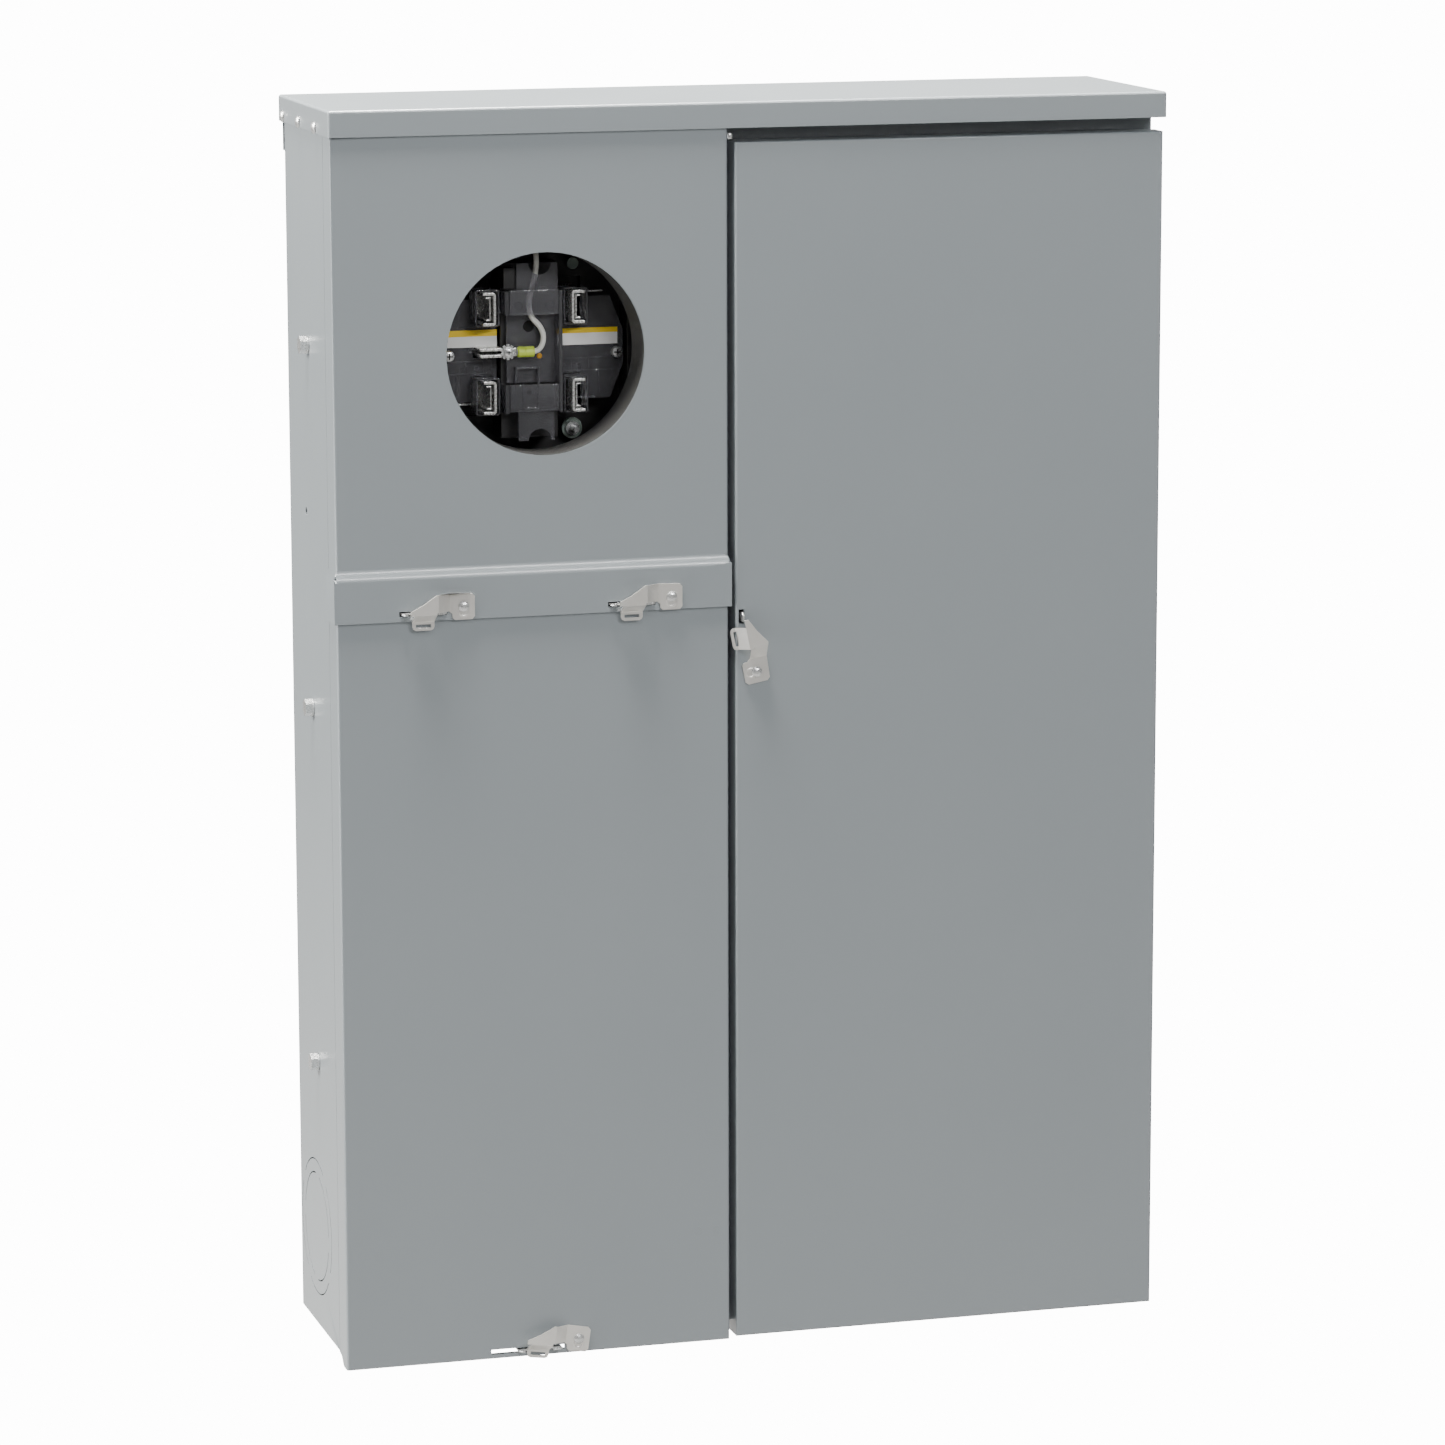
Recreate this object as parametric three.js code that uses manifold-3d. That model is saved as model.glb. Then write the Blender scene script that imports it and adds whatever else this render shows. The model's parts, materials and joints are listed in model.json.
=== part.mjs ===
// Combined meter socket and breaker enclosure for an outside wall. On the left a meter
// cover with a round opening stands over a pull cover; on the right a full-height door
// covers the breakers. Millimetres, +Z up, the front faces -Y, x = 0 is the middle and
// y = 0 the wall. Heights are counted from the underside of the box until the last
// lines, which put the origin on the wall face of the top hanger rail.
import * as THREE from 'three';
import { mergeVertices } from 'three/addons/utils/BufferGeometryUtils.js';
import Module from 'manifold-3d';

const wasm = await Module();
wasm.setup();

// Overall sizes
const enclosureWidth = 704;
const bodyHeight = 1027.1;
const frontDepth = 190;
const leftBayWidth = 328.6;
const bayGap = 6.2;
const meterBayHeight = 411;
const coverDepth = 28;
const wallStandoff = 13;

// Sheet metal and clearances
const sheet = 1.5;
const seamGap = 0.6;
const contact = 0.3;
const coverDrop = 8;
const doorDrop = 6.7;
const joggle = 3;
const stripFlare = 2.2;
const joggleRise = 5.5;
const stripHeight = 36;

// Cap, door and covers
const capOverhang = 2.8;
const capSideGap = 0.4;
const capLipHeight = 21.4;
const capHeadroom = 0.4;
const doorTopGap = 11.6;
const hoodOverlap = 12;
const pullLapHeight = 20;
const pullLapInset = 6;
const doorStandoff = 1;
const hingeSideStandoff = 6;
const bottomFlangeDepth = 11;

// Meter socket
const socketOffset = 11.5;
const openingDrop = 198;
const socketBelowOpening = 3;
const openingRadius = 82.5;
const collarDepth = 38;
const jawTipDepth = 38;
const jawLength = 48;
const jawSpacingX = 74.4;
const jawSpacingZ = 72.4;
const jawWidth = 11;
const jawHeight = 27;
const socketBaseThick = 34;
const socketBaseWidth = 176;
const socketBaseHeight = 184;
const columnWidth = 49;
const columnHeight = 146;
const columnFrontDepth = 50;
const columnProud = 12;

// Latches and their staples
const latchPlate = 1.5;
const latchLift = 0.4;
const latchArmLift = 13;
const stapleThick = 1.6;
const stapleReach = 6;
const stapleLength = 37.5;
const stapleOffset = 14.5;
const stapleDrop = 4.6;
const stapleSlotMargin = 1.2;
const rivetShankRadius = 2.3;
const rivetHeadRadius = 4.6;

// Door hinges
const hingeSideClear = 1;
const hingeForward = 8.5;
const hingeBarrelRadius = 4;
const hingePinRadius = 2.4;
const hingeKnuckle = 22;
const hingeEndMargin = 90;
const hingeFlangeWidth = 45;

// Breaker compartment
const deadfrontDepth = 40;
const breakerDepth = 70;
const breakerWidth = 76;
const interiorGutter = 81;
const breakerHeight = 132;
const handleBarrelRadius = 11;

// Places worked out from the sizes above
const halfWidth = enclosureWidth / 2;
const frontY = -frontDepth;
const boxFrontY = frontY + coverDepth;
const backY = -wallStandoff;
const innerBackY = backY - sheet;
const coverLeft = -halfWidth;
const coverRight = -halfWidth + leftBayWidth;
const doorLeft = coverRight + bayGap;
const doorRight = halfWidth;
const dividerX = coverRight + bayGap / 2;
const capTop = bodyHeight + capHeadroom + sheet;
const lipBottom = capTop - capLipHeight;
const doorTop = lipBottom - doorTopGap;
const stripBottom = bodyHeight - meterBayHeight;
const stripTop = stripBottom + stripHeight;
const creaseTop = stripTop + joggleRise;
const stripFrontY = frontY - joggle;
const coverBackY = boxFrontY - seamGap;
const socketX = coverLeft + leftBayWidth / 2 + socketOffset;
const openingZ = bodyHeight - openingDrop;
const socketZ = openingZ - socketBelowOpening;
const socketBaseFrontY = frontY + jawTipDepth + jawLength;
const socketBaseBackY = socketBaseFrontY + socketBaseThick;
const railY = boxFrontY + sheet + contact;
const hangerTopZ = lipBottom - seamGap;
const hangerHeight = 24;
const bayCentreX = (dividerX + halfWidth) / 2;
const hingeX = doorRight - hingeBarrelRadius - sheet - hingeSideClear;
const hingeY = boxFrontY - hingeForward;
const doorFlangeDepth = coverDepth - doorStandoff;
const hingeFlangeDepth = coverDepth - hingeSideStandoff;
const deadfrontY = frontY + deadfrontDepth;

const finishes = {
  paint: { color: 0x969c9e, roughness: 0.38, metalness: 0.15 },
  stainless: { color: 0xc4c2bc, roughness: 0.32, metalness: 0.9 },
  zinc: { color: 0xc9cbc8, roughness: 0.3, metalness: 0.9 },
  tin: { color: 0xd8d8d4, roughness: 0.28, metalness: 0.9 },
  black: { color: 0x191a1b, roughness: 0.45, metalness: 0 },
  smoked: { color: 0x3a3d40, roughness: 0.12, metalness: 0 },
  insulation: { color: 0xe6e6df, roughness: 0.5, metalness: 0 },
};

const enclosure = new THREE.Group();

// Solids

function toSolid(geometry) {
  const bare = geometry.clone();
  bare.deleteAttribute('normal');
  bare.deleteAttribute('uv');
  const merged = mergeVertices(bare, 1e-4);
  return new wasm.Manifold(new wasm.Mesh({
    numProp: 3,
    vertProperties: new Float32Array(merged.attributes.position.array),
    triVerts: new Uint32Array(merged.index.array),
  }));
}

function toGeometry(solid) {
  const mesh = solid.getMesh();
  const geometry = new THREE.BufferGeometry();
  geometry.setAttribute('position', new THREE.BufferAttribute(mesh.vertProperties, 3));
  geometry.setIndex(new THREE.BufferAttribute(mesh.triVerts, 1));
  return geometry;
}

function block([x0, x1], [y0, y1], [z0, z1]) {
  const geometry = new THREE.BoxGeometry(x1 - x0, y1 - y0, z1 - z0);
  geometry.translate((x0 + x1) / 2, (y0 + y1) / 2, (z0 + z1) / 2);
  return toSolid(geometry);
}

// An outline given across the named axis (y,z for 'x'; x,z for 'y'; x,y for 'z'),
// drawn out from one end to the other along that axis.
function prism(outline, axis, from, to, curveSegments = 8) {
  const isShape = outline instanceof THREE.Shape;
  const shape = isShape ? outline : new THREE.Shape(outline.map(([a, b]) => new THREE.Vector2(a, b)));
  const geometry = new THREE.ExtrudeGeometry(shape, { depth: to - from, bevelEnabled: false, curveSegments });
  const turn = new THREE.Matrix4();
  if (axis === 'x') turn.set(0, 0, 1, from, 1, 0, 0, 0, 0, 1, 0, 0, 0, 0, 0, 1);
  if (axis === 'y') turn.set(1, 0, 0, 0, 0, 0, -1, to, 0, 1, 0, 0, 0, 0, 0, 1);
  if (axis === 'z') turn.makeTranslation(0, 0, from);
  return toSolid(geometry.applyMatrix4(turn));
}

function rod(axis, [a, b], radius, from, to, segments = 24) {
  const circle = Array.from({ length: segments }, (_, i) => {
    const angle = ((i + 0.5) / segments) * Math.PI * 2;
    return [a + radius * Math.cos(angle), b + radius * Math.sin(angle)];
  });
  return prism(circle, axis, from, to);
}

function join(...solids) {
  return solids.reduce((sum, solid) => sum.add(solid));
}

function cut(solid, ...tools) {
  return tools.reduce((rest, tool) => rest.subtract(tool), solid);
}

function addPiece(name, shape, finish, parent = enclosure) {
  const geometry = shape.isBufferGeometry ? shape : toGeometry(shape);
  const mesh = new THREE.Mesh(geometry, new THREE.MeshStandardMaterial(finishes[finish]));
  mesh.name = name;
  parent.add(mesh);
  return mesh;
}

function place(mesh, x, y, z, turnY = 0) {
  mesh.position.set(x, y, z);
  mesh.rotation.y = turnY;
  return mesh;
}

function evenly(count, first, last) {
  return Array.from({ length: count }, (_, i) => first + ((last - first) * i) / (count - 1));
}

// Knockouts: concentric rings sheared almost through, held by ties

const knockout = { outerRadius: 57.7, innerRadius: 46, slit: 1.1, tie: 13, fromFront: 112.3, rise: 85.9 };
const floorKnockout = { outerRadius: 38, innerRadius: 31.5, slit: 1.1, tie: 11, fromBack: 62 };

function ringSlit(axis, [a, b], radius, slit, tie, turn, from, to) {
  const ring = cut(
    rod(axis, [a, b], radius + slit / 2, from, to, 40),
    rod(axis, [a, b], radius - slit / 2, from - 1, to + 1, 40),
  );
  const reach = radius + slit * 2;
  const ties = [0, 1].map((i) => {
    const angle = turn + i * Math.PI / 2;
    const along = new THREE.Vector2(Math.cos(angle), Math.sin(angle));
    const across = new THREE.Vector2(-along.y, along.x).multiplyScalar(tie / 2);
    along.multiplyScalar(reach);
    const corners = [[1, 1], [-1, 1], [-1, -1], [1, -1]].map(([u, v]) => [
      a + along.x * u + across.x * v,
      b + along.y * u + across.y * v,
    ]);
    return prism(corners, axis, from - 1, to + 1);
  });
  return cut(ring, ...ties);
}

function knockoutSlits(axis, centre, size, from, to) {
  return join(
    ringSlit(axis, centre, size.outerRadius, size.slit, size.tie, 0.6, from, to),
    ringSlit(axis, centre, size.innerRadius, size.slit, size.tie, 0.1, from, to),
  );
}

// Box, cap, divider and rails

const rainLip = { inset: sheet + 0.7, reach: 14, foot: 12 };
const headerHeight = 40;
const sillHeight = 14;
const capRivet = { first: 47.6, fromWall: 19, rise: 4.6, holeRadius: 2.5 };
const vacantHole = { fromFront: 110.9, part: 0.6748 };
const sideBolt = { fromFront: 97, topMargin: 195.1, bottomMargin: 232, holeRadius: 3.3 };
const sideBoltHeights = evenly(3, sideBolt.bottomMargin, bodyHeight - sideBolt.topMargin);
const latchRivetHeight = stripBottom + 11;
const capRivetZ = lipBottom + capRivet.rise;
const capRivetDepths = evenly(3, capRivet.first, frontDepth - capRivet.fromWall);

function buildBoxShell() {
  const tray = cut(
    block([-halfWidth, halfWidth], [boxFrontY, backY], [0, bodyHeight]),
    block([-halfWidth + sheet, halfWidth - sheet], [boxFrontY - 1, innerBackY], [sheet, bodyHeight + 1]),
  );
  const front = [boxFrontY, boxFrontY + sheet];
  const lipX = [-halfWidth + rainLip.inset, -halfWidth + rainLip.inset + sheet];
  const flanges = join(
    block([-halfWidth, lipX[1]], front, [0, bodyHeight]),
    block(lipX, [boxFrontY - rainLip.reach, front[1]], [rainLip.foot, lipBottom - hoodOverlap]),
    block([halfWidth - hingeFlangeWidth, halfWidth], front, [0, bodyHeight]),
    block([-halfWidth, halfWidth], front, [0, sillHeight]),
    block([-halfWidth, halfWidth], front, [bodyHeight - headerHeight, bodyHeight]),
  );
  const wallSpan = [-halfWidth - 1, -halfWidth + sheet + 1];
  const floorY = backY - floorKnockout.fromBack;
  const floorCentres = [socketX, bayCentreX - 90, bayCentreX + 90].map((x) => [x, floorY]);
  const sideHoles = sideBoltHeights.map((z) => (
    rod('x', [frontY + sideBolt.fromFront, z], sideBolt.holeRadius, ...wallSpan, 16)
  ));
  const rivetHoles = capRivetDepths.map((depth) => (
    rod('x', [frontY + depth, capRivetZ], capRivet.holeRadius, -halfWidth - 1, halfWidth + 1, 12)
  ));
  return cut(
    join(tray, flanges),
    rod('x', [frontY + vacantHole.fromFront, bodyHeight * vacantHole.part], sideBolt.holeRadius, ...wallSpan, 16),
    knockoutSlits('x', [frontY + knockout.fromFront, knockout.rise], knockout, ...wallSpan),
    ...floorCentres.map((centre) => knockoutSlits('z', centre, floorKnockout, -1, sheet + 1)),
    ...sideHoles,
    ...rivetHoles,
  );
}

const capHalfWidth = halfWidth + capSideGap + sheet;
const capFrontY = frontY - capOverhang;

function buildTopCap() {
  const hood = cut(
    block([-capHalfWidth, capHalfWidth], [capFrontY, 0], [lipBottom, capTop]),
    block(
      [-capHalfWidth + sheet, capHalfWidth - sheet],
      [capFrontY + sheet, -sheet],
      [lipBottom - 1, capTop - sheet],
    ),
  );
  const holes = capRivetDepths.map((depth) => (
    rod('x', [frontY + depth, capRivetZ], capRivet.holeRadius, -capHalfWidth - 1, capHalfWidth + 1, 12)
  ));
  return cut(hood, ...holes);
}

const dividerFlange = 18;
const strapWindow = { low: 70, high: 130, depth: 40 };

function buildDivider() {
  const web = [dividerX - sheet / 2, dividerX + sheet / 2];
  const flangeZ = [sillHeight + contact, bodyHeight - headerHeight - contact];
  const rear = innerBackY - contact;
  const body = join(
    block(web, [boxFrontY, rear], flangeZ),
    block(web, [railY, rear], [sheet + contact, bodyHeight - contact]),
    block([dividerX - dividerFlange, dividerX + dividerFlange], [boxFrontY, boxFrontY + sheet], flangeZ),
  );
  const window = block(
    [web[0] - 1, web[1] + 1],
    [innerBackY - strapWindow.depth - 10, innerBackY - 10],
    [socketZ + strapWindow.low, socketZ + strapWindow.high],
  );
  return cut(body, window);
}

function channelRail([x0, x1], [z0, z1], faceY, depth) {
  const hollow = block([x0 - 1, x1 + 1], [faceY + sheet, faceY + depth + 1], [z0 + sheet, z1 - sheet]);
  return cut(block([x0, x1], [faceY, faceY + depth], [z0, z1]), hollow);
}

const crossRail = { below: 12, above: 48, depth: 22 };

function buildCrossRail() {
  return channelRail(
    [-halfWidth + sheet + contact, dividerX - sheet / 2 - contact],
    [stripBottom - crossRail.below, stripBottom + crossRail.above],
    railY,
    crossRail.depth,
  );
}

const hangerSlot = { fromMiddle: 200, radius: 4 };

// A channel whose web lies on the wall and whose open side faces the back panel.
function hangerRail(halfLength, [z0, z1], slotX) {
  const depth = wallStandoff - contact;
  const rail = cut(
    block([-halfLength, halfLength], [-depth, 0], [z0, z1]),
    block([-halfLength - 1, halfLength + 1], [-depth - 1, -sheet], [z0 + sheet, z1 - sheet]),
  );
  const middle = (z0 + z1) / 2;
  const holes = [-slotX, slotX].map((x) => rod('y', [x, middle], hangerSlot.radius, -depth, 1, 16));
  return cut(rail, ...holes);
}

const lowerHanger = { inset: 60, rise: 30, height: 40 };

addPiece('box_shell', buildBoxShell(), 'paint');
addPiece('top_cap', buildTopCap(), 'paint');
addPiece('section_divider', buildDivider(), 'paint');
addPiece('cross_rail', buildCrossRail(), 'paint');
addPiece('hanger_rail_top', hangerRail(
  halfWidth - sheet,
  [hangerTopZ - hangerHeight, hangerTopZ],
  hangerSlot.fromMiddle,
), 'paint');
addPiece('hanger_rail_bottom', hangerRail(
  halfWidth - lowerHanger.inset,
  [lowerHanger.rise, lowerHanger.rise + lowerHanger.height],
  hangerSlot.fromMiddle,
), 'paint');

// Fasteners of the box

function domeRivet(headRadius, headHeight, shankRadius, shankLength) {
  const profile = [new THREE.Vector2(0, -shankLength), new THREE.Vector2(shankRadius, -shankLength)];
  profile.push(new THREE.Vector2(shankRadius, 0), new THREE.Vector2(headRadius, 0));
  for (let i = 1; i < 4; i += 1) {
    const angle = (i / 4) * Math.PI / 2;
    profile.push(new THREE.Vector2(headRadius * Math.cos(angle), headHeight * Math.sin(angle)));
  }
  profile.push(new THREE.Vector2(0, headHeight));
  return new THREE.LatheGeometry(profile, 20);
}

const capRivetShank = capSideGap + sheet * 2 + 2;
for (const [side, sign] of [['left', -1], ['right', 1]]) {
  capRivetDepths.forEach((depth, i) => {
    const geometry = domeRivet(5, 2.6, 2.1, capRivetShank).rotateZ(-sign * Math.PI / 2);
    const rivet = addPiece(`cap_rivet_${side}_${i + 1}`, geometry, 'zinc');
    place(rivet, sign * (capHalfWidth + contact), frontY + depth, capRivetZ);
  });
}

const boltSize = { washerRadius: 7.4, washer: 1.2, acrossFlats: 12.5, head: 5.6, shankRadius: 2.9, shank: 12 };

function hexBolt() {
  const corner = boltSize.acrossFlats / Math.sqrt(3);
  return join(
    rod('x', [0, 0], boltSize.washerRadius, -boltSize.washer, 0, 24),
    rod('x', [0, 0], corner, -boltSize.washer - boltSize.head, -boltSize.washer + 0.1, 6),
    rod('x', [0, 0], boltSize.shankRadius, -0.1, boltSize.shank, 14),
  );
}

sideBoltHeights.forEach((z, i) => {
  place(addPiece(`side_bolt_${i + 1}`, hexBolt(), 'zinc'), -halfWidth - contact, frontY + sideBolt.fromFront, z);
});

// Meter cover: hangs under the cap's lip, with a stepped-out strip over the pull cover

const meterLatchInset = { left: 104.4, right: 49.7 };
const meterLatchX = [coverLeft + meterLatchInset.left, coverRight - meterLatchInset.right];
const stapleCentre = stapleOffset + stapleLength / 2;
const stapleZ = latchRivetHeight - stapleDrop;
const slotHalfLength = stapleLength / 2 + stapleSlotMargin;
const rivetHole = rivetShankRadius + 0.5;

function bothSides(build) {
  return join(build(coverLeft, 1), build(coverRight, -1));
}

function buildMeterCover() {
  const topEdge = lipBottom + hoodOverlap;
  const face = prism([
    [frontY, topEdge], [frontY, creaseTop], [stripFrontY, stripTop], [stripFrontY, stripBottom],
    [stripFrontY + sheet, stripBottom], [stripFrontY + sheet, stripTop - seamGap],
    [frontY + sheet, creaseTop - seamGap], [frontY + sheet, topEdge],
  ], 'x', coverLeft, coverRight);
  const strip = block(
    [coverLeft - stripFlare, coverRight + stripFlare],
    [stripFrontY, stripFrontY + sheet],
    [stripBottom, stripTop],
  );
  const upperFlanges = bothSides((x, inward) => block(
    inward > 0 ? [x, x + sheet] : [x - sheet, x],
    [frontY, coverBackY],
    [creaseTop, lipBottom - seamGap],
  ));
  const stripFlanges = bothSides((x, inward) => {
    const outerX = x - inward * stripFlare;
    const innerX = outerX + inward * sheet;
    const low = block(inward > 0 ? [outerX, innerX] : [innerX, outerX], [stripFrontY, coverBackY], [stripBottom, stripTop]);
    const slope = prism([
      [outerX, stripTop], [innerX, stripTop], [x + inward * sheet, creaseTop],
      [x + inward * sheet, creaseTop + 1], [x, creaseTop + 1], [x, creaseTop],
    ], 'y', frontY, coverBackY);
    return join(low, slope);
  });
  const collar = cut(
    rod('y', [socketX, openingZ], openingRadius + sheet, frontY, frontY + collarDepth, 64),
    rod('y', [socketX, openingZ], openingRadius, frontY - 1, frontY + collarDepth + 1, 64),
  );
  const opening = rod('y', [socketX, openingZ], openingRadius, frontY - 1, frontY + sheet + 1, 64);
  const slots = meterLatchX.map((x) => block(
    [x - stapleCentre - slotHalfLength, x - stapleCentre + slotHalfLength],
    [stripFrontY - 1, frontY + sheet + 1],
    [stapleZ - stapleThick / 2 - stapleSlotMargin, stapleZ + stapleThick / 2 + stapleSlotMargin],
  ));
  const holes = meterLatchX.map((x) => (
    rod('y', [x, latchRivetHeight], rivetHole, stripFrontY - 1, frontY + 1, 14)
  ));
  return join(cut(join(face, strip, upperFlanges, stripFlanges), opening, ...slots, ...holes), collar);
}

addPiece('meter_cover', buildMeterCover(), 'paint');

// Pull cover: slips behind the strip, hangs below the box

const pullLatch = { x: socketX + 21.3, z: 3.8, tilt: THREE.MathUtils.degToRad(8) };
const pullStaple = { x: pullLatch.x - stapleCentre, z: -2.55 };
const pullSlot = { left: pullLatch.x - 74.7, right: pullLatch.x - 12, halfHeight: 2.1 };

function sideFlangeOutline(topZ) {
  const shape = new THREE.Shape();
  shape.moveTo(frontY, -coverDrop);
  shape.lineTo(frontY + bottomFlangeDepth, -coverDrop);
  shape.bezierCurveTo(
    frontY + bottomFlangeDepth + 7, -coverDrop,
    frontY + bottomFlangeDepth + 6, 0,
    coverBackY, 0,
  );
  shape.lineTo(coverBackY, topZ);
  shape.lineTo(frontY, topZ);
  return shape;
}

function buildPullCover() {
  const flangeTop = stripBottom - seamGap;
  const face = join(
    block([coverLeft, coverRight], [frontY, frontY + sheet], [-coverDrop, flangeTop]),
    block(
      [coverLeft + pullLapInset, coverRight - pullLapInset],
      [frontY, frontY + sheet],
      [flangeTop - 1, stripBottom + pullLapHeight],
    ),
    block([coverLeft, coverRight], [frontY, frontY + bottomFlangeDepth], [-coverDrop, -coverDrop + sheet]),
  );
  const flanges = bothSides((x, inward) => prism(
    sideFlangeOutline(flangeTop), 'x', Math.min(x, x + inward * sheet), Math.max(x, x + inward * sheet),
  ));
  const notches = meterLatchX.map((x) => block(
    [x - stapleCentre - slotHalfLength - 1, x - stapleCentre + slotHalfLength + 1],
    [frontY - 1, frontY + sheet + 1],
    [stapleZ - stapleThick / 2 - stapleSlotMargin, stripBottom + pullLapHeight + 1],
  ));
  const rivetRelief = meterLatchX.map((x) => block(
    [x - rivetHeadRadius - 2, x + rivetHeadRadius + 2],
    [frontY - 1, frontY + sheet + 1],
    [latchRivetHeight - rivetHeadRadius - 2, stripBottom + pullLapHeight + 1],
  ));
  const slot = block(
    [pullSlot.left, pullSlot.right],
    [frontY - 1, frontY + sheet + 1],
    [pullStaple.z - pullSlot.halfHeight, pullStaple.z + pullSlot.halfHeight],
  );
  const hole = rod('y', [pullLatch.x, pullLatch.z], rivetHole, frontY - 1, frontY + sheet + 1, 14);
  return cut(join(face, flanges), ...notches, ...rivetRelief, slot, hole);
}

addPiece('pull_cover', buildPullCover(), 'paint');

// Door: a pan hinged on its right edge

const doorLatch = { x: doorLeft + 17.4, z: stripBottom - 55.7, tilt: THREE.MathUtils.degToRad(79) };
const doorStaple = { x: doorLeft + 5.2, low: doorLatch.z + 42.4, high: doorLatch.z + 50 };
const doorSlotMargin = { free: 1.9, hinge: 1.3, end: 2.2 };

function buildDoor() {
  const outer = block([doorLeft, doorRight], [frontY, frontY + doorFlangeDepth], [-doorDrop, doorTop]);
  const inner = block(
    [doorLeft + sheet, doorRight - sheet],
    [frontY + sheet, frontY + doorFlangeDepth + 1],
    [-doorDrop + sheet, doorTop - sheet],
  );
  const hingeRelief = block(
    [hingeX - 1, doorRight + 1],
    [frontY + hingeFlangeDepth, frontY + doorFlangeDepth + 1],
    [-doorDrop - 1, doorTop + 1],
  );
  const slot = block(
    [doorStaple.x - stapleThick / 2 - doorSlotMargin.free, doorStaple.x + stapleThick / 2 + doorSlotMargin.hinge],
    [frontY - 1, frontY + sheet + 1],
    [doorStaple.low - doorSlotMargin.end, doorStaple.high + doorSlotMargin.end],
  );
  const hole = rod('y', [doorLatch.x, doorLatch.z], rivetHole, frontY - 1, frontY + sheet + 1, 14);
  return cut(outer, inner, hingeRelief, slot, hole);
}

addPiece('door', buildDoor(), 'paint');

// Staples that come out through the covers beside each latch

// The middle of a tongue is notched back so that the latch's lip can swing past it.
const latchLip = { near: 24.6, far: 43, reach: 18.4, lift: 0.9, webEnd: 11.5, corner: 3 };
const tongueNotch = { nearSide: 1.6, farSide: 4, clear: 0.4 };

function flatStaple(length, faceY, footY, footHeight) {
  const tipY = faceY - stapleReach;
  const half = length / 2;
  const corner = 2.5;
  const plan = [
    [-half, footY], [-half, tipY + corner], [-half + corner, tipY],
    [half - corner, tipY], [half, tipY + corner], [half, footY],
  ];
  const plate = prism(plan, 'z', -stapleThick / 2, stapleThick / 2);
  const foot = block([-half, half], [footY - stapleThick, footY], [-stapleThick / 2, footHeight]);
  const notch = block(
    [stapleCentre - latchLip.far - tongueNotch.farSide, stapleCentre - latchLip.near + tongueNotch.nearSide],
    [tipY - 1, faceY - tongueNotch.clear],
    [-stapleThick, stapleThick],
  );
  return cut(join(plate, foot), notch);
}

meterLatchX.forEach((x, i) => {
  const shape = flatStaple(stapleLength, stripFrontY, railY - contact, 14);
  place(addPiece(`meter_staple_${i + 1}`, shape, 'zinc'), x - stapleCentre, 0, stapleZ);
});

function buildPullStaple() {
  const plate = flatStaple(stapleLength, frontY, boxFrontY + 40, stapleThick / 2);
  const pad = block(
    [-stapleLength / 2, stapleLength / 2],
    [boxFrontY + 8, boxFrontY + 40],
    [0, -pullStaple.z - contact],
  );
  return join(plate, pad);
}

place(addPiece('pull_staple', buildPullStaple(), 'zinc'), pullStaple.x, 0, pullStaple.z);

function buildDoorStaple() {
  const footY = boxFrontY - contact;
  const plate = prism([
    [footY, doorStaple.low], [footY, doorStaple.high],
    [frontY - stapleReach + 2, doorStaple.high], [frontY - stapleReach, doorStaple.high - 2],
    [frontY - stapleReach, doorStaple.low + 2], [frontY - stapleReach + 2, doorStaple.low],
  ], 'x', doorStaple.x - stapleThick / 2, doorStaple.x + stapleThick / 2);
  const foot = block(
    [doorStaple.x - stapleThick / 2, dividerX + dividerFlange],
    [footY - stapleThick, footY],
    [doorStaple.low, doorStaple.high],
  );
  return join(plate, foot);
}

addPiece('door_staple', buildDoorStaple(), 'zinc');

// Latches: a plate that turns on its rivet, with a raised arm and a slotted sealing lip

const latchOutline = [
  [9.2, -8.5], [9.2, 8], [7, 10.2], [-24.9, 11.6], [-36.2, 3.9], [-46.5, -1.4], [-46.5, -4.6],
  [-27.8, -4.6], [-26.5, -2.9], [-12.5, -3.6], [-9.5, -6], [-9.5, -9], [-7.5, -10.9], [7, -10.9],
];
const doorLatchLip = { ...latchLip, near: 21.6, far: 40, reach: 15.8 };
const latchSlot = { margin: 2.9, fromEdge: 2.4, width: 2.7 };

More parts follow.
